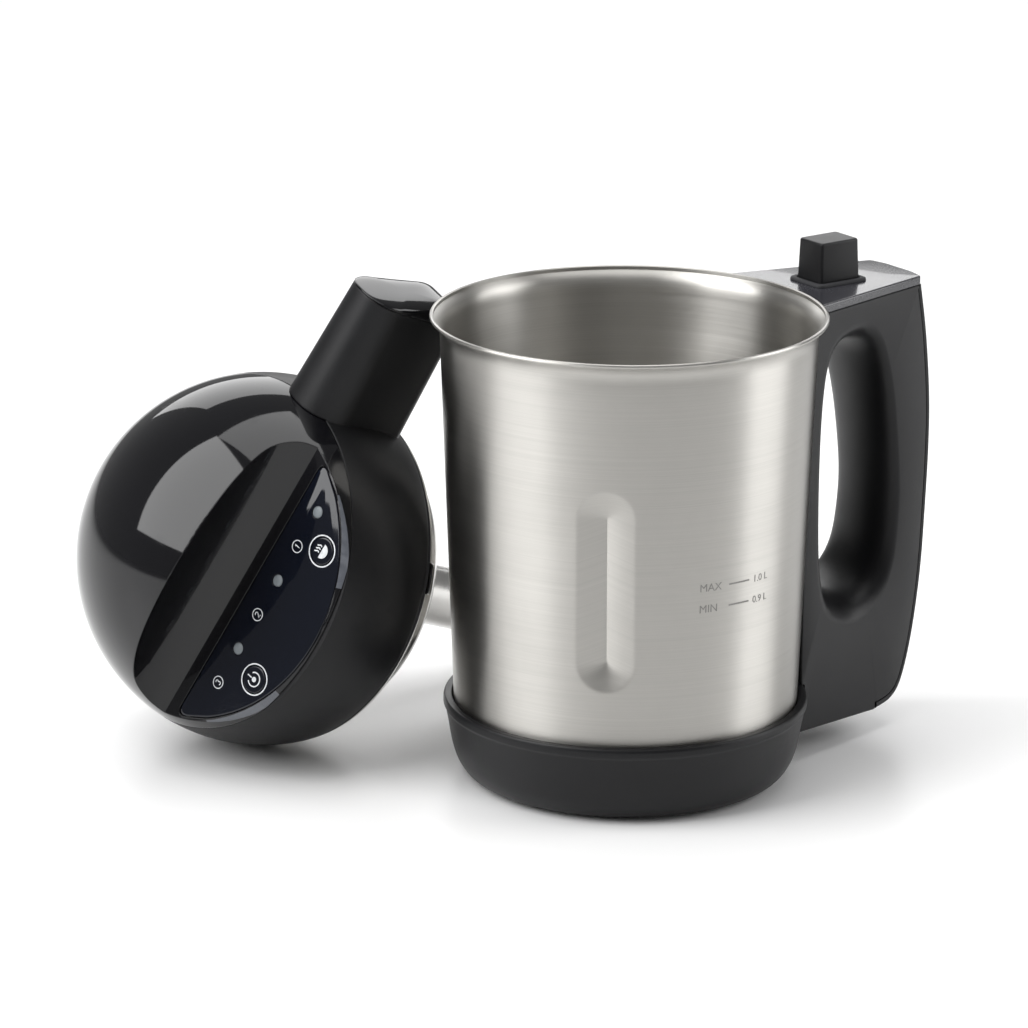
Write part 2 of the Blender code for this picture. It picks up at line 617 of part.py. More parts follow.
def make_handle():
    outer, wide, narrow = handle_outlines()
    centre = handle_point(HOLE_CENTRE)
    inset = inset_outline(outer, COVER_THICKNESS + GAP)
    step = outer[1][0] - 2 * GAP
    body = [outer[0], (step, outer[1][1]), (step, inset[2][1] + GAP)] + inset[2:-2]
    body += [(inset[-2][0], HANDLE_BODY_TOP), outer[-1]]
    angles = sorted(
        {round(math.atan2(z - centre[1], x - centre[0]), 5) for x, z in body}
        | {round(math.atan2(z - centre[1], x - centre[0]), 5) for x, z in wide[::2]}
    )
    rolls = [math.radians(a) for a in (0, 30, 60, 90)]
    bm = bmesh.new()
    rings = []
    for side in (-1, 1):
        half = []
        for roll in rolls:
            ring = []
            for angle in angles:
                near, far = hit(narrow, centre, angle), hit(wide, centre, angle)
                spot = far + (near - far) * math.cos(roll)
                ring.append((spot.x, side * half_width(far.x) * math.sin(roll), spot.y))
            half.append(ring)
        edge = []
        for angle in angles:
            spot = hit(body, centre, angle)
            edge.append((spot.x, side * half_width(spot.x), spot.y))
        half.append(edge)
        rings.append(half)
    ordered = rings[0][::-1] + rings[1][1:]
    skins = [[bm.verts.new(point) for point in ring] for ring in ordered]
    for ring, other in zip(skins, skins[1:]):
        bridge(bm, ring, other)
    bridge(bm, skins[-1], skins[0])
    handle = add("handle_body", bm, BLACK)
    cut(handle, jug_clearance("handle_jug_room", 2 * GAP, HANDLE_TOP + TOP_PLATE))
    make_wiring(handle, body)
    make_cover(outer)
    make_top(handle)
    make_inlet(handle, outer)
    return handle


def make_cover(outer):
    """The outer cover: a strip with rolled edges that follows the handle's outline."""
    strip = cover_strip(outer)
    lifted = inset_outline(outer, COVER_THICKNESS)[1:-1]
    lifted[0] = (strip[0][0], strip[0][1] + COVER_THICKNESS)
    lifted[-1] = (lifted[-1][0], strip[-1][1])
    sections = []
    for (x, z), (ix, iz) in zip(strip, lifted):
        w, edge = half_width(x), HANDLE_EDGE
        mid = (x + 0.45 * (ix - x), z + 0.45 * (iz - z))
        half = [(ix, w, iz), (mid[0], w, mid[1]), (x, w - edge, z)]
        sections.append(half + [(px, -y, pz) for px, y, pz in half[::-1]])
    sections[0] = [(px + 0.4 * MM, y, pz) for px, y, pz in sections[0]]
    return lofted("handle_cover", sections, BLACK)


def wiring_route():
    """From above the power inlet, up behind the grip's outer face, to under the connector."""
    shares = (
        (0.835, 0.270), (0.857, 0.360), (0.868, 0.480), (0.863, 0.600), (0.841, 0.720), (0.791, 0.820)
    )
    points = [handle_point(p) for p in shares]
    top = HANDLE_BODY_TOP
    points += [(CONNECTOR_X + 20 * MM, top - 9 * MM), (CONNECTOR_X + 9 * MM, top - 7 * MM)]
    points += [(CONNECTOR_X + 1 * MM, top - 4 * MM), (CONNECTOR_X, top - GAP)]
    return smooth_run([(x, 0, z) for x, z in points], 2)


def make_wiring(handle, body):
    route = wiring_route()
    rod("handle_wiring", route, WIRING_RADIUS, CABLE, sides=2)
    room = WIRING_RADIUS + 2 * GAP
    inner = [(point.x, point.z) for point in route[:-1]]
    inner = [tuple(p) for p in inset_outline(inner, room)]
    inner[0] = (inner[1][0] - 0.5 * MM, HANDLE_FOOT + HANDLE_HEIGHT * 0.25)
    inner[-1] = (CONNECTOR_X - room - 1 * MM, HANDLE_BODY_TOP + 5 * MM)
    inner[-2] = (CONNECTOR_X - room - 1 * MM, inner[-2][1])
    beyond = RIM_RADIUS + HANDLE_DEPTH + 10 * MM
    outward = [(beyond, HANDLE_BODY_TOP + 5 * MM), (beyond, inner[0][1])]
    slot = prism("wiring_slot", inner + outward, -room, room, axis="Y")
    cut(handle, helper(slot))


def make_top(handle):
    """Top plate, connector block with its collar and contacts."""
    low, high = HANDLE_BODY_TOP + GAP, HANDLE_TOP
    tip = HANDLE_TIP_X
    root = handle_point(OUTLINE_SHAPE[0])[0]
    bulge = 1.5 * MM
    plan = [(root, -half_width(root)), (tip, -half_width(tip)), (tip + bulge, -0.5 * half_width(tip))]
    plan += [(x, -y) for x, y in plan[::-1]]
    plate = prism("handle_top_cap", plan, low, high, TOP_BLACK)
    rim = disc_outline(RIM_RADIUS + 2 * GAP, low - 5 * MM, high + 5 * MM)
    x0, x1 = CONNECTOR_X - CONNECTOR_LENGTH / 2, CONNECTOR_X + CONNECTOR_LENGTH / 2
    y1 = CONNECTOR_WIDTH / 2
    window = ((x0 - GAP, -y1 - GAP, low - 1 * MM), (x1 + GAP, y1 + GAP, high + 1 * MM))
    cut(plate, turned("top_cap_rim_room", rim, angles=96), box("connector_window", *window))
    top = HANDLE_TOP + CONNECTOR_HEIGHT
    taper = 0.7 * MM
    chamfer = 1.2 * MM
    sections = []
    levels = ((low, 0.0), (high, 0.0), (top - chamfer, taper), (top, taper + chamfer))
    for level, shrink in levels:
        outline = rectangle((x0 + shrink, -y1 + shrink), (x1 - shrink, y1 - shrink), 1.6 * MM, 2)
        sections.append([Vector((x, y, level)) for x, y in outline])
    block = lofted("connector_block", sections, BLACK)
    edge, gap, base = COLLAR_WIDTH, GAP + 0.1 * MM, high + GAP
    near, far = (x0 - edge, -y1 - edge, base), (x1 + edge, y1 + edge, base + COLLAR_HEIGHT)
    collar = box("connector_collar", near, far, RUBBER, None, 3 * MM)
    cut(collar, box("collar_window", (x0 - gap, -y1 - gap, low), (x1 + gap, y1 + gap, top)))
    low, high = high + COLLAR_HEIGHT + 2 * MM, top - 3 * MM
    half = CONTACT_WIDTH / 2
    for i in range(CONTACTS):
        y = (i - (CONTACTS - 1) / 2) * CONTACT_PITCH
        near = (x1 - 2.1 * MM, y - half, low)
        box(f"contact_strip_{i + 1}", near, (x1 - 1.0 * MM, y + half, high), BRASS)
        near = (x1 - 2.1 * MM - GAP, y - half - GAP, low - GAP)
        cut(block, box(f"contact_slot_{i + 1}", near, (x1 + 2 * MM, y + half + GAP, high + GAP)))


def make_inlet(handle, outer):
    """Power inlet in the foot of the grip, square to the outer face there."""
    low, high = Vector(handle_point((0.780, 0.052))), Vector(handle_point((0.874, 0.152)))
    along = (high - low).normalized()
    middle = low + (high - low) * 0.72
    turn = Matrix(((along.y, 0, along.x), (0, 1, 0), (-along.x, 0, along.y))).to_4x4()
    seat = frame_at("power_inlet_seat", Matrix.Translation((middle.x, 0, middle.y)) @ turn)
    y1, z1 = INLET_WIDTH / 2, INLET_HEIGHT / 2
    face = -0.6 * MM
    sink = GAP

    def block(name, grow, deep, front, finish=None, corner=2.0 * MM):
        outline = rectangle((-y1 - grow, -z1 - grow), (y1 + grow, z1 + grow), corner)
        return prism(name, outline, -deep, front, finish, seat, axis="X")

    inlet = block("power_inlet", 0.0, INLET_DEPTH, face, GLOSS)
    room = helper(block("power_inlet_room", sink, INLET_DEPTH + sink, 12 * MM))
    cut(handle, room)
    cut(bpy.data.objects["handle_cover"], room)
    mouth = helper(block("power_inlet_mouth", -2.6 * MM, INLET_DEPTH - 2.5 * MM, 12 * MM))
    cut(inlet, mouth)
    low, high = GAP + 2.5 * MM - INLET_DEPTH, -3.5 * MM
    for i, (y, z) in enumerate(((-6.0 * MM, -1.6 * MM), (0.0, 1.8 * MM), (6.0 * MM, -1.6 * MM))):
        outline = rectangle((y - 0.9 * MM, z - 1.9 * MM), (y + 0.9 * MM, z + 1.9 * MM))
        prism(f"inlet_pin_{i + 1}", outline, low, high, BRASS, seat, axis="X")


# ---- head ----
def head_matrix():
    """Lays the head on the floor and backs it away from the jug until nothing of it is too close."""
    turn = Euler((HEAD_ROLL, 0, 0)).to_matrix() @ Euler((0, HEAD_LEAN, 0)).to_matrix()
    probes = []
    edges = ((FLANGE_RADIUS, FLANGE_BOTTOM), (CUP_RADIUS, CUP_BOTTOM), (GUARD_RADIUS, GUARD_BOTTOM))
    for i in range(72):
        angle = TAU * i / 72
        probes += [(r * math.cos(angle), r * math.sin(angle), z) for r, z in edges]
    for angle in lug_angles():
        probes.append((lug_radius() * math.cos(angle), lug_radius() * math.sin(angle), FLANGE_BOTTOM))
    for share in (0.6, 0.75, 0.85, 1.0):
        probes += arm_section(share * (ARM_REACH - ARM_CAP_LENGTH), 0.0)
    for section in arm_cap_sections():
        probes += section
    ball = [BALL_RADIUS * Vector((math.sin(0.1 * i), 0, -math.cos(0.1 * i))) for i in range(63)]
    points = [turn @ Vector(p) for p in probes]
    height = max(BALL_RADIUS, -min(p.z for p in points)) + FLOOR_CLEARANCE
    inward = Vector((-math.cos(HEAD_AZIMUTH), -math.sin(HEAD_AZIMUTH), 0))
    points += [inward * p.x + Vector((0, 0, p.z)) for p in ball]
    distance = BALL_RADIUS
    while any(too_close(p - inward * distance + Vector((0, 0, height))) for p in points):
        distance += 0.1 * MM
    return Matrix.Translation(Vector((0, 0, height)) - inward * distance) @ turn.to_4x4()


def too_close(point):
    if point.z > JUG_HEIGHT + JUG_CLEARANCE:
        return False
    if point.z > JUG_HEIGHT - 5 * MM:
        radius = RIM_RADIUS
    elif point.z > BASE_HEIGHT:
        radius = wall_radius(point.z)
    else:
        radius = BASE_LIP_RADIUS
    return math.hypot(point.x, point.y) < radius + JUG_CLEARANCE


def deck_height(y):
    return DECK_BACK_HEIGHT + (y - DECK_BACK_Y) * math.tan(DECK_TILT)


def front_cut(name, sink, head):
    """Everything in front of the dome's ridge and above the deck, moved in by a wall's thickness."""
    far = -2 * BALL_RADIUS
    top = math.sqrt(BALL_RADIUS**2 - RIDGE_Y**2)
    deck = DECK_BACK_HEIGHT - sink
    wall = [
        (DECK_BACK_Y, deck),
        (0.5 * (DECK_BACK_Y + RECESS_Y) + 1.2 * MM, deck + 0.16 * (top - deck)),
        (RECESS_Y, deck + 0.42 * (top - deck)),
        (0.6 * RECESS_Y + 0.4 * RIDGE_Y, deck + 0.72 * (top - deck)),
        (RIDGE_Y, top),
    ]
    curve = [(p.x + sink, p.y) for p in smooth_run(wall, 3)]
    outline = [(far, deck + (far - DECK_BACK_Y) * math.tan(DECK_TILT))] + curve
    outline += [(RIDGE_Y + sink, 2 * BALL_RADIUS), (far, 2 * BALL_RADIUS)]
    return helper(prism(name, outline, -2 * BALL_RADIUS, 2 * BALL_RADIUS, parent=head, axis="X"))


def lens_outline(grow):
    """The D of the panel lens on the deck: a chord at the back and an arc in front."""
    radius = LENS_RADIUS + grow
    back = DECK_BACK_Y - 5.0 * MM + grow
    start = math.pi + math.asin(-back / radius)
    end = TAU - math.asin(-back / radius)
    turns = [start + (end - start) * i / 18 for i in range(19)]
    return [(radius * math.cos(turn), radius * math.sin(turn)) for turn in turns]


def on_deck(name, outline, low, high, finish=None, parent=None):
    """A prism standing square on the deck, between two heights above it."""
    sections = []
    for level in (low, high):
        base = [Vector((x, y, deck_height(y))) for x, y in outline]
        sections.append([point + DECK_NORMAL * level for point in base])
    return lofted(name, sections, finish, parent)


def circle(x, y, radius, steps=SMALL_STEPS):
    """A circle on the deck, as plan points that become round once laid on its slope."""
    lean = math.cos(DECK_TILT)
    turns = [TAU * i / steps for i in range(steps)]
    return [(x + radius * math.cos(turn), y + radius * lean * math.sin(turn)) for turn in turns]


def pip_places():
    return [(PIP_SHIFT + PIP_HALF_ROW * (2 * i / (PIPS - 1) - 1), PIP_Y) for i in range(PIPS)]


def key_places():
    return [(KEY_REACH * math.sin(angle), -KEY_REACH * math.cos(angle)) for angle in KEY_ANGLES]


def make_cover_and_panel(head):
    low = PARTING_HEIGHT + GAP / 2
    arc = ball_arc(BALL_RADIUS, low, BALL_RADIUS * 0.9999, 9)
    cover = turned("top_cover", [(0, low)] + arc[:-1] + [(0, BALL_RADIUS)], GLOSS, head)
    cut(cover, front_cut("front_cut_outer", 0.0, head))
    inner_radius = BALL_RADIUS - SHELL
    arc = ball_arc(inner_radius, low - 3 * MM, inner_radius * 0.9999, 6)
    core = [(0, low - 3 * MM)] + arc[:-1] + [(0, inner_radius)]
    core = helper(turned("top_cover_core", core, None, head, 30))
    cut(core, front_cut("front_cut_inner", SHELL, head))
    cut(cover, core)
    sunk = LENS_THICKNESS + GAP
    pocket = helper(on_deck("lens_pocket", lens_outline(GAP), -sunk, 10 * MM, parent=head))
    ledge = helper(on_deck("lens_ledge", lens_outline(-1.2 * MM), -12 * MM, 10 * MM, parent=head))
    cut(cover, pocket, ledge)
    lens = on_deck("panel_lens", lens_outline(0.0), -LENS_THICKNESS, 0.0, GLOSS, head)
    bar = PIP_HALF_ROW + PIP_RADIUS + 0.7 * MM
    tall = PIP_RADIUS + 0.5 * MM
    strip = rectangle((PIP_SHIFT - bar, PIP_Y - tall), (PIP_SHIFT + bar, PIP_Y + tall), 2 * MM, 2)
    under = -LENS_THICKNESS - GAP
    guide = on_deck("light_guide", strip, under - 2.0 * MM, under, CLEAR, head)
    for i, (x, y) in enumerate(pip_places()):
        hole = circle(x, y, PIP_RADIUS + GAP, 14)
        cut(lens, helper(on_deck(f"pip_hole_{i + 1}", hole, -5 * MM, 5 * MM, parent=head)))
        low, high = -LENS_THICKNESS - 1.5 * MM, -0.2 * MM
        join(guide, on_deck(f"pip_{i + 1}", circle(x, y, PIP_RADIUS, 14), low, high, parent=head))
    for name, (x, y) in zip(("mode_key", "start_key"), key_places()):
        hole = circle(x, y, KEY_RADIUS + GAP)
        cut(lens, helper(on_deck(f"{name}_hole", hole, -5 * MM, 5 * MM, parent=head)))
        spot = Matrix.Translation((x, y, deck_height(y)))
        seat = frame_at(f"{name}_seat", spot @ Matrix.Rotation(DECK_TILT, 4, "X"), head)
        low, foot = -LENS_THICKNESS - 1.0 * MM, -LENS_THICKNESS - 1.0 * MM - KEY_STEM
        outline = [(0, foot), (2.0 * MM, foot), (2.0 * MM, low), (KEY_RADIUS, low)]
        turned(name, outline + [(KEY_RADIUS, 0.2 * MM), (0, 0.2 * MM)], GLOSS, seat, SMALL_STEPS)
    front, back = 0.86 * LENS_RADIUS, -PIP_Y - 6 * MM
    half = 0.62 * LENS_RADIUS
    board = [(-half, -back), (-0.7 * half, -front), (0.7 * half, -front), (half, -back)]
    depth = LENS_THICKNESS + 1.0 * MM + KEY_STEM + KEY_TRAVEL + GAP
    on_deck("control_board", board, -depth - 1.6 * MM, -depth, BOARD, head)


def arm_section(x, grow):
    """Rounded box section of the arm at a distance from the axis; grow is negative for the inside."""
    share = (x - 0.5 * ARM_REACH) / (0.5 * ARM_REACH)
    half = 0.5 * (ARM_ROOT_WIDTH + (ARM_TIP_WIDTH - ARM_ROOT_WIDTH) * share) + grow
    low, high = ARM_BOTTOM - grow, ARM_TOP + grow
    crown = ARM_CROWN_SHARE * half
    heel = ARM_HEEL + min(grow, 0.0)
    points = [(-half, low + heel), (-half + 0.3 * heel, low + 0.3 * heel), (-half + heel, low)]
    points += [(-y, z) for y, z in points[::-1]] + [(half, high - crown)]
    for i in range(1, 4):
        angle = math.radians(90 * i / 4)
        points.append((half - crown * (1 - math.cos(angle)), high - crown * (1 - math.sin(angle))))
    points += [(half - crown, high), (crown - half, high)]
    for i in range(1, 4):
        angle = math.radians(90 - 90 * i / 4)
        points.append((-half + crown * (1 - math.cos(angle)), high - crown * (1 - math.sin(angle))))
    points.append((-half, high - crown))
    return [Vector((x, y, z)) for y, z in points]


def socket_box(grow, top):
    half_x, half_y = CONNECTOR_LENGTH / 2 + grow, CONNECTOR_WIDTH / 2 + grow
    return (CONNECTOR_X - half_x, -half_y, ARM_BOTTOM), (CONNECTOR_X + half_x, half_y, top)


def make_bowl_and_arm(head):
    high = PARTING_HEIGHT - GAP / 2
    ring = BALL_RADIUS - SEAT_RING_WIDTH
    outside = ball_arc(BALL_RADIUS, SEAT_LEVEL, high, 6)
    inside = ball_arc(BALL_RADIUS - SHELL, SEAT_LEVEL + SHELL, high, 4)[::-1]
    bowl = turned(
        "lower_shell", outside + inside + [(ring, SEAT_LEVEL + SHELL), (ring, SEAT_LEVEL)], BLACK, head
    )
    shell_end = ARM_REACH - ARM_CAP_LENGTH
    root = BALL_RADIUS - 12 * MM
    stations = [root, 0.5 * (root + shell_end), shell_end]
    arm = helper(lofted("arm_outside", [arm_section(x, 0.0) for x in stations], parent=head))
    ball = ball_arc(BALL_RADIUS + GAP, PARTING_HEIGHT - GAP / 2, (BALL_RADIUS + GAP) * 0.9999, 6)
    dome = [(0, PARTING_HEIGHT - GAP / 2)] + ball[:-1] + [(0, BALL_RADIUS + GAP)]
    cut(arm, helper(turned("arm_dome_room", dome, None, head)))
    join(bowl, arm)
    stations = [root - 5 * MM, shell_end + 5 * MM]
    hollow = helper(lofted("arm_inside", [arm_section(x, -ARM_WALL) for x in stations], parent=head))
    slot = ARM_TIP_WIDTH / 2 - ARM_WALL
    near, far = (BALL_RADIUS + 3 * MM, -slot, ARM_BOTTOM - 5 * MM), (shell_end + 5 * MM, slot, 0)
    cut(bowl, hollow, box("arm_opening", near, far, parent=head))
    inner = ring - 0.2 * MM
    core = ball_arc(BALL_RADIUS - SHELL, SEAT_LEVEL + SHELL, high + 2 * MM, 6)
    core = [(0, SEAT_LEVEL - SHELL), (inner, SEAT_LEVEL - SHELL), (inner, SEAT_LEVEL + SHELL)] + core
    core += [(0, high + 2 * MM)]
    cut(bowl, helper(turned("bowl_core", core, None, head)))
    make_arm_pieces(head, slot, shell_end)
    return bowl


def arm_cap_sections():
    """The end cap's sections, which draw in and lean back towards its top."""
    start = ARM_REACH - ARM_CAP_LENGTH + GAP
    ring = arm_section(ARM_REACH - ARM_CAP_LENGTH, 0.0)
    sections = []
    for share, sink in ((0.0, 0.0), (0.30, 0.03), (0.75, 0.17), (1.0, 0.42)):
        x = start + share * (ARM_REACH - start)
        section = []
        for point in ring:
            rise = (point.z - ARM_BOTTOM) / (ARM_TOP - ARM_BOTTOM)
            back, drop = CAP_LEAN * share**2 * rise, CAP_LEAN * sink * rise
            section.append(Vector((x - back, point.y * (1 - 0.5 * sink), point.z - drop)))
        sections.append(section)
    return sections


def make_arm_pieces(head, slot, shell_end):
    x0, x1 = BALL_RADIUS + 3 * MM + GAP, shell_end - GAP
    near, far = (x0, GAP - slot, ARM_BOTTOM), (x1, slot - GAP, ARM_BOTTOM + 2 * MM)
    plate = box("arm_socket", near, far, BLACK, head, 1 * MM)
    roof = SOCKET_ROOF
    low, high = socket_box(SOCKET_CLEARANCE + 1.6 * MM, roof + 1.6 * MM)
    join(plate, helper(box("socket_walls", low, high, parent=head, corner=1.5 * MM)))
    low, high = socket_box(SOCKET_CLEARANCE, roof)
    cut(plate, helper(box("socket_well", (low[0], low[1], low[2] - 5 * MM), high, parent=head)))
    axis = frame_at("plunger_axis", Matrix.Translation((CONNECTOR_X, 0, roof)), head)
    hole = disc_outline(PLUNGER_RADIUS + GAP, -5 * MM, 5 * MM)
    cut(plate, helper(turned("plunger_hole", hole, None, axis, SMALL_STEPS)))
    low, high = 1.6 * MM + GAP, 3.1 * MM + GAP
    stem, collar = PLUNGER_RADIUS, PLUNGER_RADIUS + 1.6 * MM
    plunger = [(0, -PLUNGER_REACH), (0.6 * stem, -PLUNGER_REACH), (stem, 1 * MM - PLUNGER_REACH)]
    plunger += [(stem, low), (collar, low), (collar, high), (stem, high), (stem, 11 * MM), (0, 11 * MM)]
    turned("interlock_plunger", plunger, NYLON, axis, SMALL_STEPS)
    lofted("arm_end_cap", arm_cap_sections(), GLOSS, head)


def lug_radius():
    return seat_radius(NECK_HEIGHT + SEAT_HEIGHT_SHARE * FLARE_HEIGHT)


def lug_angles():
    return [SEAT_LUG_ANGLE + TAU * i / SEAT_LUGS for i in range(SEAT_LUGS)]


def make_lugs(cup, head):
    half = SEAT_LUG_WIDTH / 2
    outer, inner = lug_radius(), FLANGE_RADIUS - 3 * MM
    for i, angle in enumerate(lug_angles()):
        seat = frame_at(f"seat_lug_{i + 1}_seat", Matrix.Rotation(angle, 4, "Z"), head)
        tip = math.sqrt(outer**2 - half**2)
        plan = [(inner, -half), (tip, -half), (outer, 0), (tip, half), (inner, half)]
        low, high = FLANGE_BOTTOM + 0.1 * MM, FLANGE_TOP - 0.1 * MM
        join(cup, helper(prism(f"seat_lug_{i + 1}", plan, low, high, parent=seat)))


def make_under_side(head):
    """Gasket, steel cup and blade tube below the ball."""
    edge = math.sqrt(BALL_RADIUS**2 - SEAT_LEVEL**2) - 0.6 * MM
    ring = ring_outline(BALL_RADIUS - SEAT_RING_WIDTH, edge, GASKET_BOTTOM, GASKET_TOP)
    gasket = turned("seat_gasket", ring, RUBBER, head)
    outer, wall, neck = FLANGE_RADIUS, CUP_WALL, TUBE_RADIUS + GAP
    outside = [(outer, FLANGE_TOP), (outer, FLANGE_BOTTOM), (CUP_RADIUS + 1.5 * MM, FLANGE_BOTTOM)]
    outside += [(CUP_RADIUS, FLANGE_BOTTOM - 2 * MM), (CUP_RADIUS - 2 * MM, CUP_BOTTOM + 4 * MM)]
    outside += [(CUP_RADIUS - 5 * MM, CUP_BOTTOM), (neck, CUP_BOTTOM)]
    inside = [(neck, CUP_BOTTOM + wall), (CUP_RADIUS - 5.6 * MM, CUP_BOTTOM + wall)]
    inside += [(CUP_RADIUS - 2 * MM - wall, CUP_BOTTOM + 4.5 * MM), (CUP_RADIUS - wall, FLANGE_TOP)]
    cup = turned("under_cup", outside + inside, STEEL_FINISH, head)
    make_lugs(cup, head)
    top = CUP_BOTTOM + wall + GAP
    inner = TUBE_RADIUS - 1.4 * MM
    tube = [(inner, top + 1.5 * MM), (inner, TUBE_BOTTOM), (TUBE_RADIUS - 1 * MM, TUBE_BOTTOM)]
    tube += [(TUBE_RADIUS, TUBE_BOTTOM + 1 * MM), (TUBE_RADIUS, top)]
    tube += [(TUBE_RADIUS + 4 * MM, top), (TUBE_RADIUS + 4 * MM, top + 1.5 * MM)]
    turned("shaft_tube", tube, STEEL_FINISH, head, MIDDLE_STEPS)
    seal = ring_outline(BORE_RADIUS, inner - GAP, TUBE_BOTTOM + 1 * MM, TUBE_BOTTOM + 9 * MM)
    turned("shaft_seal", seal, RUBBER, head, MIDDLE_STEPS)
    make_probe(cup, head)
    distance = 0.5 * (CUP_RADIUS + 1.5 * MM + outer)
    for i in range(HEAD_SCREWS):
        angle, name = TAU * (i + 0.5) / HEAD_SCREWS + SCREW_TWIST, f"head_screw_{i + 1}"
        spot = (distance * math.cos(angle), distance * math.sin(angle), FLANGE_BOTTOM)
        seat = frame_at(f"{name}_seat", Matrix.Translation(spot), head)
        hole = turned(f"{name}_hole", disc_outline(SCREW_HOLE, -5 * MM, 12 * MM), None, seat, 12)
        for piece in (cup, gasket, bpy.data.objects["lower_shell"]):
            cut(piece, hole)
        screw = [(0, -GAP - 1.2 * MM), (SCREW_HEAD - 0.5 * MM, -GAP - 1.2 * MM)]
        screw += [(SCREW_HEAD, -GAP - 0.5 * MM), (SCREW_HEAD, -GAP)]
        screw += [(SCREW_SHANK, -GAP), (SCREW_SHANK, 6 * MM), (0, 6 * MM)]
        turned(name, screw, ZINC, seat, 12)
    make_guard(head)


def make_probe(cup, head):
    """The level probe, standing down from its hole in the cup."""
    low, top = CUP_BOTTOM - 36 * MM, CUP_BOTTOM + 6 * MM
    shoulder, seat_level = 3.0 * MM, CUP_BOTTOM + CUP_WALL + GAP
    seat = frame_at("level_probe_seat", Matrix.Translation((0, PROBE_Y, 0)), head)
    hole = disc_outline(shoulder + GAP, CUP_BOTTOM - 5 * MM, CUP_BOTTOM + 5 * MM)
    cut(cup, turned("probe_hole", hole, None, seat, SMALL_STEPS))
    probe = [(0, low), (PROBE_RADIUS, low), (PROBE_RADIUS, CUP_BOTTOM - 2 * MM)]
    probe += [(shoulder, CUP_BOTTOM - 2 * MM), (shoulder, seat_level)]
    probe += [(5 * MM, seat_level), (5 * MM, top), (0, top)]
    turned("level_probe", probe, STEEL_FINISH, seat, 14)


def make_guard(head):
    """Cage round the blade: a collar on the tube, four legs and a bottom ring."""
    top = TUBE_BOTTOM + 7 * MM
    collar = ring_outline(TUBE_RADIUS + GAP, GUARD_RADIUS - 0.6 * MM, TUBE_BOTTOM - 1.5 * MM, top)
    guard = turned("blade_guard", collar, STEEL_FINISH, head, MIDDLE_STEPS)
    ring = ring_outline(GUARD_RADIUS - 1.4 * MM, GUARD_RADIUS, GUARD_BOTTOM, GUARD_BOTTOM + 4 * MM)
    join(guard, helper(turned("guard_ring", ring, None, head, MIDDLE_STEPS)))
    for i in range(4):
        seat = frame_at(f"guard_leg_{i + 1}_seat", Matrix.Rotation(TAU * (i + 0.5) / 4, 4, "Z"), head)
        low = (GUARD_RADIUS - 1.3 * MM, -2.5 * MM, GUARD_BOTTOM + 1 * MM)
        high = (GUARD_RADIUS - 0.2 * MM, 2.5 * MM, TUBE_BOTTOM + 3 * MM)
        join(guard, helper(box(f"guard_leg_{i + 1}", low, high, parent=seat)))


def make_motor(head):
    """Stator, brackets and bearings on the head; armature, commutator, fan and shaft on the rotor."""
    half = STATOR_SIDE / 2
    outline = rectangle((-half, -half), (half, half), 8 * MM, 2)
    stator = prism("motor_stator", outline, STATOR_BOTTOM, STATOR_TOP, LAMINATION, head)
    for side in (-1, 1):
        low = (side * 18 * MM - 3.0 * MM, -14 * MM, STATOR_BOTTOM - COIL_END)
        high = (side * 18 * MM + 3.0 * MM, 14 * MM, STATOR_TOP + COIL_END)
        join(stator, helper(box(f"field_coil_{side + 1}", low, high, parent=head, corner=2 * MM)))
    bore = disc_outline(ARMATURE_RADIUS + 2 * GAP, STATOR_BOTTOM - 10 * MM, STATOR_TOP + 10 * MM)
    cut(stator, helper(turned("stator_bore", bore, None, head, 26)))
    winding, coil_low, coil_top = 13.2 * MM, STATOR_BOTTOM - COIL_END, STATOR_TOP + COIL_END
    armature = [(BORE_RADIUS, coil_low), (winding, coil_low), (winding, STATOR_BOTTOM)]
    armature += [(ARMATURE_RADIUS, STATOR_BOTTOM), (ARMATURE_RADIUS, STATOR_TOP), (winding, STATOR_TOP)]
    armature += [(winding, coil_top), (BORE_RADIUS, coil_top)]
    turned("motor_armature", armature, COPPER, head, MIDDLE_STEPS)
    bars = coil_top + 2 * GAP
    ring = ring_outline(BORE_RADIUS, 8.6 * MM, bars, bars + COMMUTATOR_LENGTH)
    turned("commutator", ring, COPPER, head, MIDDLE_STEPS)
    bearing_top = make_upper_bearing(head, half, bars + COMMUTATOR_LENGTH + 3 * MM)
    fan_low = make_fan(head, coil_low - 2 * GAP)
    make_lower_bearing(head, fan_low - 1.2 * MM)
    make_shaft(head, bearing_top + 1.5 * MM)


def make_upper_bearing(head, half, low):
    """The bearing above the commutator, in a bridge on two legs that stand on the stator."""
    high = low + 5 * MM
    ring = ring_outline(BORE_RADIUS, UPPER_BEARING_RADIUS, low, high)
    turned("upper_bearing", ring, ZINC, head, MIDDLE_STEPS)
    near, far = (-half, -7 * MM, low - 1.5 * MM), (half, 7 * MM, high - 0.5 * MM)
    bracket = box("upper_bracket", near, far, ALUMINIUM, head)
    for side in (-1, 1):
        x0, x1 = sorted((side * (half - 0.8 * MM), side * (half - 2.8 * MM)))
        near, far = (x0, -6 * MM, STATOR_TOP + GAP), (x1, 6 * MM, high - 1 * MM)
        join(bracket, box(f"bracket_leg_{side + 1}", near, far, parent=head))
    pocket = disc_outline(UPPER_BEARING_RADIUS + GAP, low - GAP, high + 10 * MM)
    through = disc_outline(BORE_RADIUS + 1 * MM, low - 10 * MM, high)
    cut(bracket, turned("upper_bearing_pocket", pocket, None, head, MIDDLE_STEPS))
    cut(bracket, turned("upper_bearing_through", through, None, head, MIDDLE_STEPS))
    return high


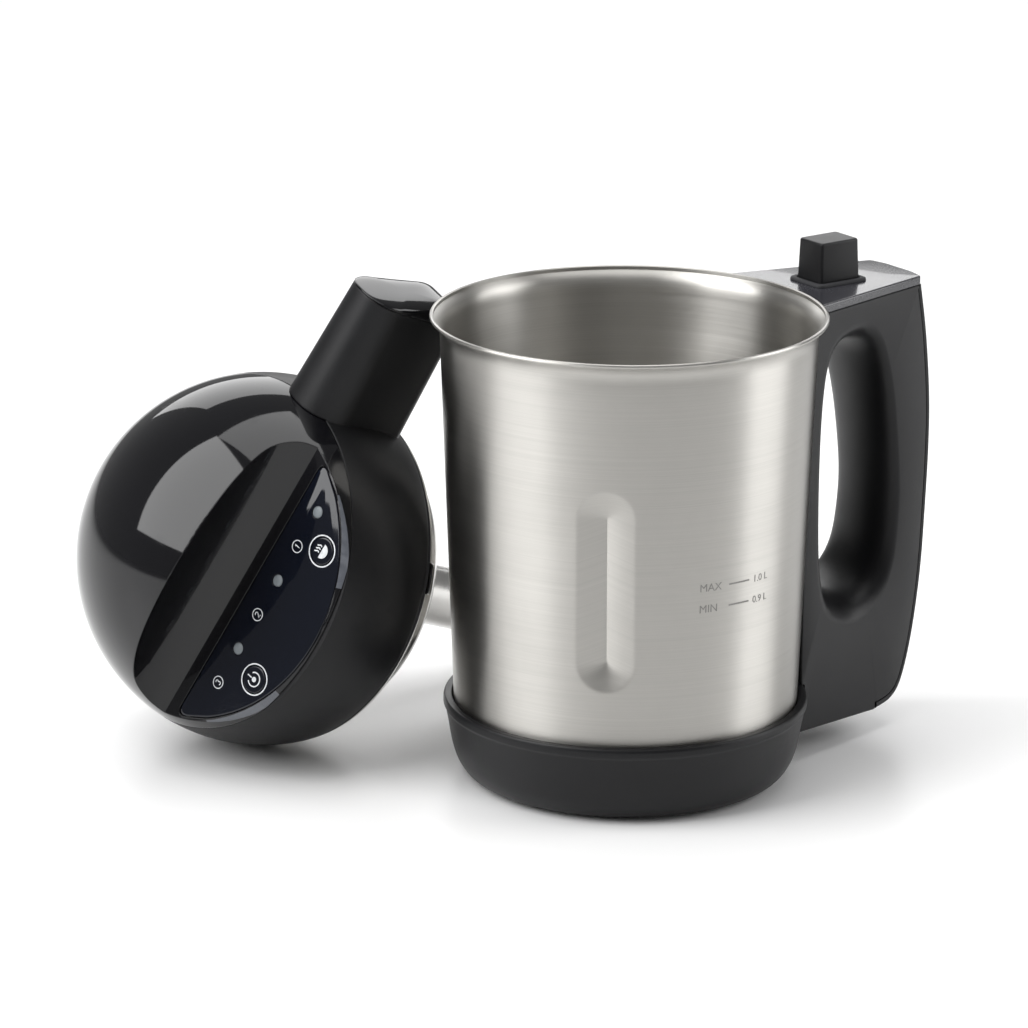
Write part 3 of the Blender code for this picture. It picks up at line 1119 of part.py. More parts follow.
def make_fan(head, top):
    low = top - 5.5 * MM
    disc = disc_outline(FAN_RADIUS, low, low + 1.4 * MM)
    fan = turned("cooling_fan", disc, BLACK, head, MIDDLE_STEPS)
    hub = disc_outline(7 * MM, low + 0.4 * MM, top)
    join(fan, turned("fan_hub", hub, None, head, SMALL_STEPS))
    near = (5.5 * MM, -0.8 * MM, low + 0.5 * MM)
    far = (FAN_RADIUS - 0.6 * MM, 0.8 * MM, top - 0.3 * MM)
    for i in range(6):
        seat = frame_at(f"fan_blade_{i + 1}_seat", Matrix.Rotation(TAU * i / 6, 4, "Z"), head)
        join(fan, box(f"fan_blade_{i + 1}", near, far, parent=seat))
    bore = disc_outline(BORE_RADIUS, low - 5 * MM, top + 5 * MM)
    cut(fan, turned("fan_bore", bore, None, head, SMALL_STEPS))
    return low


def make_lower_bearing(head, top):
    """The bearing under the fan, in a plate with a bearing housing and four posts to the stator."""
    low, foot = top - 2.4 * MM, top - 8.4 * MM
    through, pocket = BORE_RADIUS + 1 * MM, LOWER_BEARING_RADIUS + GAP
    housing, reach = 10 * MM, BALL_RADIUS - SEAT_RING_WIDTH - 3 * MM
    base = [(through, top), (through, low), (pocket, low), (pocket, foot), (housing, foot)]
    base += [(housing, low), (reach, low), (reach, top)]
    plate = turned("lower_bracket", base, ALUMINIUM, head, MIDDLE_STEPS)
    for i in range(4):
        angle, name = TAU * (i + 0.5) / 4, f"motor_post_{i + 1}"
        spot = (POST_CIRCLE * math.cos(angle), POST_CIRCLE * math.sin(angle), 0)
        seat = frame_at(f"{name}_seat", Matrix.Translation(spot), head)
        post = disc_outline(3.2 * MM, top - 1 * MM, STATOR_BOTTOM - GAP)
        join(plate, turned(name, post, None, seat, 12))
    ring = ring_outline(BORE_RADIUS, LOWER_BEARING_RADIUS, foot, low - GAP)
    turned("lower_bearing", ring, ZINC, head, MIDDLE_STEPS)


def make_shaft(head, top):
    """The shaft from above its upper bearing down to the blade and its nut on a thinner thread."""
    level = GUARD_BOTTOM + 11 * MM
    shoulder, tip = level - 2 * GAP, level - 6 * MM
    shaft = [(0, tip), (THREAD_RADIUS, tip), (THREAD_RADIUS, shoulder), (SHAFT_RADIUS, shoulder)]
    turned("motor_shaft", shaft + [(SHAFT_RADIUS, top), (0, top)], ZINC, head, SMALL_STEPS)
    make_blade(head, level)
    corners = [(NUT_RADIUS * math.cos(TAU * i / 6), NUT_RADIUS * math.sin(TAU * i / 6)) for i in range(6)]
    nut = prism("blade_nut", corners, level - 5 * MM, level - 1.2 * MM, ZINC, head)
    bore = disc_outline(THREAD_RADIUS + GAP, level - 9 * MM, level + 5 * MM)
    cut(nut, turned("nut_bore", bore, None, head, 16))


def make_blade(head, level):
    """Four wings with upturned tips round a hub."""
    bm = bmesh.new()
    rings = []
    for height in (level - 0.6 * MM, level + 0.7 * MM):
        ring = []
        for i in range(4):
            for x, y in ((4.2, -2.6), (9.0, -2.9), (13.6, -1.2), (13.4, 1.0), (9.0, 2.4), (4.2, 2.6)):
                reach = x / 13.6 * BLADE_RADIUS
                spot = Matrix.Rotation(TAU * i / 4, 3, "Z") @ Vector((reach, y * MM, 0))
                lift = 0.55 * max(0.0, reach - 9.0 * MM)
                ring.append(bm.verts.new((spot.x, spot.y, height + (lift if i % 2 else 0.0))))
        rings.append(ring)
    bridge(bm, *rings)
    bm.faces.new(rings[0])
    bm.faces.new(rings[1])
    bmesh.ops.triangulate(bm, faces=[f for f in bm.faces if len(f.verts) > 4])
    blade = add("blade", bm, STEEL_FINISH, head)
    bore = disc_outline(BORE_RADIUS, level - 5 * MM, level + 5 * MM)
    cut(blade, turned("blade_bore", bore, None, head, SMALL_STEPS))


make_vessel()
make_base()
make_heater()
make_handle()
HEAD = frame_at("head_frame", head_matrix())
make_bowl_and_arm(HEAD)
make_cover_and_panel(HEAD)
make_under_side(HEAD)
make_motor(HEAD)
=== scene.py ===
"""Soup maker: brushed steel jug on a black base, and its ball-shaped motor head lying beside it.

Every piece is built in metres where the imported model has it. The jug stands on the origin with its
handle along +X. The head's pieces are built upright in the head's own frame, with the ball's centre
at the origin, the arm along +X and the control panel towards -Y, and the frame lays them down.
"""

import json
import math

import bmesh
import bpy
from mathutils import Matrix, Vector


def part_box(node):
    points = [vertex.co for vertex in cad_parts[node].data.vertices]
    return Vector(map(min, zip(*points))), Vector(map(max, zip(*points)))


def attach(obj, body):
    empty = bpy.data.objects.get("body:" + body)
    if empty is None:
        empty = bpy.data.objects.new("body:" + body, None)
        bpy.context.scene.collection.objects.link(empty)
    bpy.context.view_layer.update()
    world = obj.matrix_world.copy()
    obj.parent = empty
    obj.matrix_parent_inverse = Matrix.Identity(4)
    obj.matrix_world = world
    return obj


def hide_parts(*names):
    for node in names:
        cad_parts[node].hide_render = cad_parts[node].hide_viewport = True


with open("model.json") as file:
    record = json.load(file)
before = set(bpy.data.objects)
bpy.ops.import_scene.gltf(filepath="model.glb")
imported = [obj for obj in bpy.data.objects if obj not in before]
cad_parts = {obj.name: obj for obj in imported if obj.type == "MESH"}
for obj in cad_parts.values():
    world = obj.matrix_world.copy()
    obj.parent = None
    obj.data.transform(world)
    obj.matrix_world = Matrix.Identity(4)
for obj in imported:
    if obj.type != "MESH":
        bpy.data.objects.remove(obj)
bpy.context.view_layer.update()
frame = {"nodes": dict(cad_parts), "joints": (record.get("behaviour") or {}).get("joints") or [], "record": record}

MM = 0.001
TAU = 2 * math.pi
GAP = 0.3 * MM

# ---- jug ----
RIM_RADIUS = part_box("vessel")[1].x
JUG_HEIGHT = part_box("vessel")[1].z
FLOOR_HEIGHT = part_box("vessel")[0].z
BASE_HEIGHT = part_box("base_housing")[1].z
STEEL = 0.8 * MM
WALL_TOP = RIM_RADIUS - 4.0 * MM
WALL_BOTTOM = RIM_RADIUS - 9.4 * MM
FLARE_HEIGHT = 10.0 * MM
RIM_ROLL = 1.6 * MM
NECK_HEIGHT = JUG_HEIGHT - FLARE_HEIGHT
BASE_LIP_RADIUS = WALL_BOTTOM + GAP + 3.6 * MM
BASE_FLARE = 14.5 * MM
BASE_FOOT_RADIUS = BASE_LIP_RADIUS - BASE_FLARE
FLUTE_ANGLE = math.radians(133.4)
FLUTE_WIDTH = 23.0 * MM
FLUTE_LENGTH = 79.0 * MM
FLUTE_CENTRE = JUG_HEIGHT - 89.0 * MM
FLUTE_DEPTH = 4.2 * MM
MARK_ANGLE = math.radians(-103.6)
MARK_LIFT = 0.05 * MM
MARK_LEVELS = (("MAX", "1.0 L", 92.5 * MM), ("MIN", "0.9 L", 84.3 * MM))

# ---- handle ----
HANDLE_DEPTH = 62.2 * MM
HANDLE_TOP = JUG_HEIGHT - 0.7 * MM
HANDLE_FOOT = 9.5 * MM
HANDLE_HEIGHT = HANDLE_TOP - HANDLE_FOOT
TOP_PLATE = 3.2 * MM
HANDLE_BODY_TOP = HANDLE_TOP - TOP_PLATE - GAP
HANDLE_ROOT_X = RIM_RADIUS + 0.12 * HANDLE_DEPTH
HANDLE_TIP_X = RIM_RADIUS + 0.868 * HANDLE_DEPTH
HANDLE_ROOT_WIDTH = 53.6 * MM
HANDLE_TIP_WIDTH = 31.0 * MM
COVER_THICKNESS = 2.3 * MM
CONNECTOR_X = RIM_RADIUS + 20.3 * MM
CONNECTOR_LENGTH = 19.0 * MM
CONNECTOR_WIDTH = 15.0 * MM
CONNECTOR_TOP = HANDLE_TOP + 16.6 * MM
INLET_WIDTH = 26.0 * MM
INLET_HEIGHT = 19.0 * MM
INLET_DEPTH = 17.0 * MM
OUTLINE_SHAPE = (
    (-0.234, 0.015), (0.515, 0.000), (0.674, 0.012), (0.780, 0.052), (0.874, 0.152), (0.945, 0.291),
    (0.978, 0.433), (1.000, 0.590), (0.993, 0.717), (0.945, 0.862), (0.877, 0.985),
)
HOLE_SHAPE = (
    (0.330, 0.934), (0.110, 0.928), (-0.020, 0.894), (-0.086, 0.825), (-0.120, 0.700), (-0.126, 0.520),
    (-0.104, 0.375), (-0.035, 0.283), (0.100, 0.242), (0.273, 0.226), (0.438, 0.240), (0.570, 0.275),
    (0.652, 0.328), (0.691, 0.400), (0.709, 0.500), (0.687, 0.610), (0.639, 0.730), (0.577, 0.820),
    (0.483, 0.894),
)
HOLE_CENTRE = (0.273, 0.575)
THROAT_CENTRE = (0.277, 0.578)
THROAT_SHARE = (0.70, 0.83)

# ---- head ----
BALL_RADIUS = 72.12 * MM
SHELL = 2.6 * MM
PARTING_HEIGHT = 21.3 * MM
SEAT_LEVEL = -19.6 * MM
SEAT_RING_WIDTH = 8.0 * MM
GASKET_TOP = SEAT_LEVEL - GAP
GASKET_BOTTOM = GASKET_TOP - 1.9 * MM
CUP_WALL = 1.2 * MM
FLANGE_TOP = GASKET_BOTTOM - GAP
FLANGE_BOTTOM = FLANGE_TOP - CUP_WALL
FLANGE_RADIUS = WALL_TOP - STEEL - 1.9 * MM
CUP_RADIUS = FLANGE_RADIUS - 7.8 * MM
CUP_BOTTOM = FLANGE_TOP - 16.0 * MM - CUP_WALL
PROBE_Y = CUP_RADIUS - 20.5 * MM
LUG_RADIUS = 70.2 * MM
LUG_ANGLES = [math.radians(60 + 120 * i) for i in range(3)]
RIDGE_Y = -26.5 * MM
RECESS_Y = -17.0 * MM
DECK_BACK_Y = -24.0 * MM
DECK_BACK_HEIGHT = 29.6 * MM
DECK_TILT = math.radians(10.2)
DECK_NORMAL = Vector((0, -math.sin(DECK_TILT), math.cos(DECK_TILT)))
PACKED_BALL_RADIUS = 72.3 * MM
LENS_RADIUS = 0.955 * PACKED_BALL_RADIUS - 3.4 * MM
LENS_THICKNESS = 2.0 * MM
KEY_RADIUS = 5.2 * MM
KEY_REACH = LENS_RADIUS - KEY_RADIUS - 2.9 * MM
KEYS = (("mode_key", math.radians(32.6)), ("start_key", math.radians(-27.0)))
PIP_RADIUS = 2.3 * MM
PIP_Y = DECK_BACK_Y - 14.0 * MM
PIP_SHIFT = 2.3 * MM
PIP_HALF_ROW = math.sqrt(LENS_RADIUS**2 - PIP_Y**2) - 12.0 * MM - PIP_SHIFT
PIPS = 6
ARM_REACH = CONNECTOR_X + 31.2 * MM
ARM_CAP_LENGTH = 9.0 * MM
CAP_LEAN = 8.0 * MM
ARM_BOTTOM = -17.5 * MM
ARM_TOP = 27.0 * MM
ARM_ROOT_WIDTH = 32.0 * MM
ARM_TIP_WIDTH = 25.0 * MM
ARM_HEEL = 4.5 * MM
ARM_CROWN_SHARE = 0.92
ARM_WALL = 2.2 * MM
TUBE_RADIUS = 12.0 * MM
TUBE_BOTTOM = CUP_BOTTOM - 98.0 * MM
GUARD_RADIUS = 15.8 * MM
GUARD_BOTTOM = TUBE_BOTTOM - 24.0 * MM
BORE_RADIUS = 3.3 * MM
BLADE_LEVEL = GUARD_BOTTOM + 11 * MM

ROUND = 192  # steps round a large turned piece
SMOOTH = 32.0  # degrees between faces that still shade as one surface


def joint(name):
    return next(j for j in frame["joints"] if j["name"] == name)


def head_frame():
    """The head's frame, from the line its blade shaft turns on and the line its keys are pressed along."""
    spin, press = joint("rotor_spin"), joint("mode_key_press")
    up = Vector(spin["axis"]).normalized()
    deck = -Vector(press["axis"]).normalized()
    along = up.cross(deck).normalized()
    turn = Matrix((along, up.cross(along), up)).transposed()
    return Matrix.Translation(Vector(spin["pos_m"])) @ turn.to_4x4()


HEAD = head_frame()


# ---- finishes ----
class Wire:
    """A socket of a material's node tree. Arithmetic on it adds Math nodes."""

    def __init__(self, tree, socket=None):
        self.tree, self.socket = tree, socket

    def node(self, kind, settings=None, sockets=None, output=0):
        """Any node: its settings first, then the values or wires of its sockets."""
        made = self.tree.nodes.new(kind)
        for name, value in (settings or {}).items():
            if name == "stops":
                ramp = made.color_ramp
                for place, colour in value[1:-1]:
                    ramp.elements.new(place)
                for element, (place, colour) in zip(ramp.elements, value):
                    element.position, element.color = place, (*colour, 1.0)
            else:
                setattr(made, name, value)
        for name, value in (sockets or {}).items():
            if isinstance(value, Wire):
                self.tree.links.new(value.socket, made.inputs[name])
            else:
                made.inputs[name].default_value = value
        return Wire(self.tree, made.outputs[output])

    def maths(self, operation, *values):
        return self.node("ShaderNodeMath", {"operation": operation}, dict(enumerate(values)))

    def __add__(self, other):
        return self.maths("ADD", self, other)

    __radd__ = __add__

    def __sub__(self, other):
        return self.maths("SUBTRACT", self, other)

    def __rsub__(self, other):
        return self.maths("SUBTRACT", other, self)

    def __mul__(self, other):
        return self.maths("MULTIPLY", self, other)

    __rmul__ = __mul__

    def __pow__(self, other):
        return self.maths("POWER", self, other)

    def parts(self):
        """The x, y and z of a vector."""
        made = self.node("ShaderNodeSeparateXYZ", None, {0: self}).socket.node
        return [Wire(self.tree, output) for output in made.outputs]

    def between(self, low, high):
        """0 below low, 1 above high and a straight line between."""
        return self.node("ShaderNodeMapRange", {"clamp": True}, {0: self, 1: low, 2: high})

    def blend(self, first, second):
        """A colour mixed from two by this factor."""
        colours = {0: self, 6: first, 7: second}
        return self.node("ShaderNodeMix", {"data_type": "RGBA"}, colours, output=2)


def point_of(x, y, z):
    return x.node("ShaderNodeCombineXYZ", None, {0: x, 1: y, 2: z})


def new_finish(name, metallic=0.0, at=None, **constants):
    """A material, the wire of the position in the frame it is made in, and its shader."""
    made = bpy.data.materials.new(name)
    made.use_nodes = True
    tree = made.node_tree
    shader = tree.nodes["Principled BSDF"]
    shader.inputs["Metallic"].default_value = metallic
    for socket, value in constants.items():
        shader.inputs[socket.replace("_", " ")].default_value = value
    spot = Wire(tree).node("ShaderNodeTexCoord", output=3)
    if at is not None:
        sockets = {0: spot, 1: at.translation, 2: at.to_euler()}
        spot = spot.node("ShaderNodeMapping", {"vector_type": "TEXTURE"}, sockets)
    return made, spot, shader


def feed(shader, **wires):
    for socket, wire in wires.items():
        wire.tree.links.new(wire.socket, shader.inputs[socket.replace("_", " ")])


def noise(spot, scale, detail=3.0, rough=0.55):
    sockets = {"Vector": spot, "Scale": scale, "Detail": detail, "Roughness": rough}
    return spot.node("ShaderNodeTexNoise", None, sockets)


def relief(height, depth, edge=0.0):
    """A bump of a height field; edge rounds the piece's corners by that radius as well."""
    sockets = {"Height": height, "Distance": depth, "Strength": 1.0}
    if edge:
        sockets["Normal"] = height.node("ShaderNodeBevel", {"samples": 6}, {"Radius": edge})
    return height.node("ShaderNodeBump", None, sockets)


def paler(colour, share):
    return (*[min(1.0, c * share) for c in colour], 1.0)


def brushed_finish(name, colour, gloss, line, depth, edge=0.0, anisotropy=0.9, at=None):
    """Steel brushed round its axis: fine lines that run level round the wall and in rings on the flat."""
    made, spot, shader = new_finish(
        name, metallic=1.0, at=at, Anisotropic=anisotropy, Anisotropic_Rotation=0.25
    )
    x, y, z = spot.parts()
    run = z + (x * x + y * y) ** 0.5
    fine = noise(point_of(x * 9.0, y * 9.0, run * line), 1.0, 4.0, 0.7)
    broad = noise(point_of(x * 5.0, y * 5.0, run * line * 0.16), 1.0, 3.0, 0.6)
    cloud = noise(spot, 26.0, 3.0)
    lines = fine * 0.7 + broad * 0.3
    tone = lines.between(0.30, 0.70) * 0.75 + cloud.between(0.35, 0.65) * 0.25
    feed(
        shader,
        Base_Color=tone.blend(paler(colour, 0.86), paler(colour, 1.07)),
        Roughness=gloss + lines.between(0.3, 0.7) * 0.10 + cloud.between(0.4, 0.8) * 0.04,
        Normal=relief(lines, depth, edge),
    )
    return made


def moulded_finish(name, colour, gloss, grain, depth, edge=0.0, coat=0.0, shine=0.5):
    """Moulded plastic with the fine grain of its tool, faint flow marks and a little handling wear."""
    constants = {"Coat_Weight": coat, "Coat_Roughness": 0.05, "Specular_IOR_Level": shine}
    made, spot, shader = new_finish(name, **constants)
    fine = noise(spot, grain, 2.0, 0.5)
    flow = noise(spot, 34.0, 4.0, 0.6)
    rub = noise(spot, 150.0, 5.0, 0.7).between(0.52, 0.78)
    tone = flow.between(0.3, 0.7) * 0.6 + fine.between(0.35, 0.65) * 0.4
    feed(
        shader,
        Base_Color=tone.blend(paler(colour, 0.82), paler(colour, 1.22)),
        Roughness=gloss + flow.between(0.35, 0.7) * 0.06 - rub * 0.05 + fine.between(0.4, 0.7) * 0.03,
        Normal=relief(fine + flow * 0.35, depth, edge),
    )
    return made


def polished_finish(name, colour, gloss, edge=0.0):
    """High-gloss plastic: a barely wavy surface, hairline scratches and a few specks of dust."""
    constants = {"Coat_Weight": 0.25, "Coat_Roughness": 0.03, "Specular_IOR_Level": 0.32}
    made, spot, shader = new_finish(name, **constants)
    wave = noise(spot, 22.0, 2.0, 0.4)
    sockets = {"Vector": spot, "Scale": 260.0, "Distortion": 38.0, "Detail": 4.0, "Detail Scale": 0.6}
    hair = spot.node("ShaderNodeTexWave", {"bands_direction": "DIAGONAL"}, sockets, output=1)
    scratch = hair.between(0.93, 1.0) * noise(spot, 60.0, 2.0).between(0.55, 0.72)
    dust = noise(spot, 1400.0, 1.0, 0.4).between(0.78, 0.84)
    tone = dust * 0.7 + wave.between(0.3, 0.7) * 0.12
    feed(
        shader,
        Base_Color=tone.blend(paler(colour, 1.0), paler(colour, 3.2)),
        Roughness=gloss + scratch * 0.10 + dust * 0.30 + wave.between(0.35, 0.7) * 0.015,
        Normal=relief(wave + scratch * -0.02, 0.00025, edge),
    )
    return made


def rubber_finish(name, colour, edge=0.0):
    """Rubber or cable sheath: a fine grit and the pale bloom of handling."""
    made, spot, shader = new_finish(name)
    bloom = noise(spot, 55.0, 4.0, 0.6).between(0.35, 0.75)
    grit = noise(spot, 2100.0, 2.0)
    feed(
        shader,
        Base_Color=(bloom * 0.8 + grit * 0.2).blend(paler(colour, 0.8), paler(colour, 1.35)),
        Roughness=0.62 + bloom * 0.16 + grit * 0.08,
        Normal=relief(grit, 0.00004, edge),
    )
    return made


def metal_finish(name, colour, gloss, grain, depth, edge, dark=0.72):
    """Plain metal stock with a tarnish that gathers in patches."""
    made, spot, shader = new_finish(name, metallic=1.0)
    patch = noise(spot, 90.0, 5.0, 0.65).between(0.3, 0.72)
    fine = noise(spot, grain, 3.0)
    feed(
        shader,
        Base_Color=(patch * 0.7 + fine * 0.3).blend(paler(colour, dark), paler(colour, 1.1)),
        Roughness=gloss + (1 - patch) * 0.14 + fine * 0.08,
        Normal=relief(fine, depth, edge),
    )
    return made


def plated_finish(name, colour, edge):
    """Zinc plate, with the flat crystal patches of its passivated skin."""
    made, spot, shader = new_finish(name, metallic=1.0)
    cell = spot.node("ShaderNodeTexVoronoi", None, {"Vector": spot, "Scale": 420.0}, output=1)
    shade = cell.node("ShaderNodeSeparateColor", None, {0: cell})
    fine = noise(spot, 1500.0)
    feed(
        shader,
        Base_Color=shade.blend(paler(colour, 0.86), paler(colour, 1.12)),
        Roughness=0.28 + shade * 0.12 + fine * 0.06,
        Normal=relief(fine, 0.00002, edge),
    )
    return made


def winding_finish(name, colour):
    """Enamelled copper wire laid side by side, with painted shade in the grooves between the wires and a painted
    highlight along each wire's crown.
    """
    made, spot, shader = new_finish(name, metallic=1.0, at=HEAD, Coat_Weight=0.5)
    x, y, _ = spot.parts()
    angle = x.maths("ARCTAN2", y, x)
    strand_and_shade = (angle * 34.0).maths("SINE", angle * 34.0)
    stray = noise(spot, 700.0, 2.0)
    feed(
        shader,
        # Painted shade and highlight: the colour darkens in the grooves between wires and pales on their crowns.
        Base_Color=(strand_and_shade * 0.5 + 0.5).blend(paler(colour, 0.45), paler(colour, 1.25)),
        Roughness=0.26 + stray * 0.16,
        Normal=relief(strand_and_shade + stray * 0.5, 0.0002, 0.0003),
    )
    return made


def laminated_finish(name, colour):
    """A stack of punched sheets, seen as fine lines along the motor's axis."""
    made, spot, shader = new_finish(name, metallic=0.8, at=HEAD)
    sockets = {"Vector": spot, "Scale": 320.0, "Distortion": 0.4, "Detail": 1.0}
    bands = spot.node("ShaderNodeTexWave", {"bands_direction": "Z"}, sockets, output=1)
    varnish = noise(spot, 120.0, 4.0)
    feed(
        shader,
        Base_Color=(bands * 0.6 + varnish * 0.4).blend(paler(colour, 0.55), paler(colour, 1.2)),
        Roughness=0.36 + varnish * 0.2,
        Normal=relief(bands, 0.00008, 0.0003),
    )
    return made


def board_finish(name, colour):
    """Solder resist over copper tracks, with bare round pads."""
    made, spot, shader = new_finish(name)
    bare, track = (0, 0, 0, 1), (1, 1, 1, 1)
    sockets = {"Vector": spot, "Scale": 150.0, "Mortar Size": 0.05}
    sockets |= {"Color1": bare, "Color2": bare, "Mortar": track}
    tracks = spot.node("ShaderNodeTexBrick", {"offset": 0.37}, sockets, output=1)
    cells = spot.node("ShaderNodeTexVoronoi", None, {"Vector": spot, "Scale": 210.0})
    pads = 1 - cells.between(0.16, 0.2)
    tinted = tracks.blend(paler(colour, 1.0), paler(colour, 1.9))
    feed(
        shader,
        Base_Color=pads.blend(tinted, (0.62, 0.5, 0.26, 1.0)),
        Roughness=0.42 - pads * 0.15,
        Normal=relief(tracks + pads, 0.00006, 0.0002),
    )
    return made


def frosted_finish(name, colour, edge):
    """Clear plastic with an etched face."""
    made, spot, shader = new_finish(name, Transmission_Weight=0.25, IOR=1.49)
    frost = noise(spot, 900.0, 3.0)
    feed(
        shader,
        Base_Color=frost.blend(paler(colour, 0.8), paler(colour, 1.1)),
        Roughness=0.28 + frost * 0.2,
        Normal=relief(frost, 0.00003, edge),
    )
    return made


def printed_finish(name, colour):
    """Screen-printed ink, a little thin in places."""
    made, spot, shader = new_finish(name)
    thin = noise(spot, 800.0, 3.0).between(0.35, 0.7)
    feed(
        shader,
        Base_Color=thin.blend(paler(colour, 0.75), paler(colour, 1.0)),
        Roughness=0.40 + thin * 0.12,
        Normal=relief(thin, 0.00001),
    )
    return made


BLACK = (0.0068, 0.0068, 0.0078)
FINISH = {
    "brushed_steel": brushed_finish("brushed_steel", (0.50, 0.488, 0.462), 0.31, 2600.0, 0.000008),
    "polished_steel": brushed_finish(
        "polished_steel", (0.66, 0.65, 0.63), 0.16, 3200.0, 0.000004, 0.0002, 0.0, HEAD
    ),
    "satin_black": moulded_finish("satin_black", BLACK, 0.36, 2200.0, 0.00003, shine=0.28),
    "gloss_black": polished_finish("gloss_black", (0.004, 0.004, 0.005), 0.045, 0.0007),
    "panel_gloss": polished_finish("panel_gloss", (0.003, 0.004, 0.008), 0.035, 0.0003),
    "polished_grey": moulded_finish(
        "polished_grey", (0.030, 0.030, 0.036), 0.22, 1500.0, 0.00001, 0.0, 0.35
    ),
    "rubber": rubber_finish("rubber", (0.022, 0.022, 0.025), 0.0003),
    "zinc": plated_finish("zinc", (0.58, 0.57, 0.55), 0.0002),
    "aluminium": metal_finish("aluminium", (0.70, 0.70, 0.71), 0.38, 1200.0, 0.00006, 0.0004),
    "copper": winding_finish("copper", (0.60, 0.25, 0.12)),
    "brass": metal_finish("brass", (0.65, 0.48, 0.22), 0.24, 1800.0, 0.00001, 0.0002),
    "lamination": laminated_finish("lamination", (0.30, 0.31, 0.33)),
    "circuit_board": board_finish("circuit_board", (0.03, 0.16, 0.07)),
    "nylon": moulded_finish("nylon", (0.75, 0.74, 0.70), 0.42, 1600.0, 0.00002, 0.0003),
    "cable": rubber_finish("cable", (0.02, 0.02, 0.02), 0.0003),
    "light_guide": frosted_finish("light_guide", (0.24, 0.27, 0.29), 0.0002),
}
INK = printed_finish("white_ink", (0.78, 0.80, 0.82))
# Painted sheen: a paler, bluish copy of the black plastic for the tilted bevel round the lens, standing in for the
# pale light that band catches; the bevel's shape itself is real.
BEVEL_PAINTED_SHEEN = moulded_finish("bevel_painted_sheen", (0.070, 0.076, 0.090), 0.34, 1800.0, 0.00001, 0.0, 0.5)
ETCHED = metal_finish("etched_steel", (0.30, 0.295, 0.285), 0.44, 1500.0, 0.00002, 0.0)
SOFT_BLACK = moulded_finish("satin_black_softened", BLACK, 0.36, 2200.0, 0.00003, 0.0008, shine=0.28)


# ---- shaping ----
def bridge(bm, ring, other):
    """Faces between two rings of vertices; a ring of one vertex is a pole."""
    count = max(len(ring), len(other))
    for i in range(count):
        j = (i + 1) % count
        corners = [
            ring[i % len(ring)], ring[j % len(ring)], other[j % len(other)], other[i % len(other)]
        ]
        bm.faces.new(list(dict.fromkeys(corners)))


def made_object(name, bm, crease=SMOOTH):
    bmesh.ops.recalc_face_normals(bm, faces=bm.faces)
    mesh = bpy.data.meshes.new(name)
    bm.to_mesh(mesh)
    bm.free()
    mesh.shade_smooth()
    mesh.set_sharp_from_angle(angle=math.radians(crease))
    obj = bpy.data.objects.new(name, mesh)
    bpy.context.scene.collection.objects.link(obj)
    return obj


def soften(points, radius, steps=4, closed=True):
    """An outline with its corners rounded, each within the sides that meet there."""
    points = [Vector(p) for p in points]
    count = len(points)
    rounded = []
    for i, here in enumerate(points):
        if not closed and i in (0, count - 1):
            rounded.append(here)
            continue
        sides = [points[i - 1] - here, points[(i + 1) % count] - here]
        ends = [here + side.normalized() * min(radius, 0.45 * side.length) for side in sides]
        for step in range(steps + 1):
            t = step / steps
            rounded.append((1 - t) ** 2 * ends[0] + 2 * t * (1 - t) * here + t * t * ends[1])
    return rounded


def turned(name, outline, angles=ROUND, dent=None, crease=SMOOTH):
    """A solid turned about Z from (radius, height) points; off the axis the outline closes on itself."""
    bm = bmesh.new()
    if isinstance(angles, int):
        angles = [TAU * i / angles for i in range(angles)]
    rings = []
    for radius, height in outline:
        if radius < 1e-7:
            rings.append([bm.verts.new((0, 0, height))])
            continue
        ring = []
        for angle in angles:
            r = radius - (dent(angle, height) if dent else 0.0)
            ring.append(bm.verts.new((r * math.cos(angle), r * math.sin(angle), height)))
        rings.append(ring)
    for ring, other in zip(rings, rings[1:]):
        bridge(bm, ring, other)
    if len(rings[0]) > 1:
        bridge(bm, rings[-1], rings[0])
    return made_object(name, bm, crease)


def turned_soft(name, outline, radius, angles=ROUND, steps=3):
    """A turned solid with rounded corners; an outline that starts on the axis ends on it."""
    return turned(name, soften(outline, radius, steps, closed=outline[0][0] > 1e-7), angles)


def ring_outline(inner, outer, low, high):
    return [(inner, low), (outer, low), (outer, high), (inner, high)]


def disc_outline(radius, low, high):
    return [(0, low), (radius, low), (radius, high), (0, high)]


def lofted(name, sections, closed=False, crease=SMOOTH):
    """A skin over equal rings of points, capped at both ends unless it closes on itself."""
    bm = bmesh.new()
    rings = [[bm.verts.new(point) for point in section] for section in sections]
    for ring, other in zip(rings, rings[1:]):
        bridge(bm, ring, other)
    if closed:
        bridge(bm, rings[-1], rings[0])
    else:
        bm.faces.new(rings[0])
        bm.faces.new(rings[-1])
    return made_object(name, bm, crease)


def stacked(name, rings, point, closed=False, crease=SMOOTH):
    """A skin over outlines, each drawn in by a distance and set at a level: (outline, level, inward)."""
    sections = []
    for outline, level, inward in rings:
        plan = inset_outline(outline, inward) if inward else outline
        sections.append([point(a, b, level) for a, b in plan])
    return lofted(name, sections, closed, crease)


def prism(name, outline, low, high, axis="Z"):
    """An outline of two coordinates, extruded along the third from low to high."""
    point = {
        "Z": lambda a, b, c: Vector((a, b, c)),
        "Y": lambda a, b, c: Vector((a, c, b)),
        "X": lambda a, b, c: Vector((c, a, b)),
    }[axis]
    return lofted(name, [[point(a, b, level) for a, b in outline] for level in (low, high)])


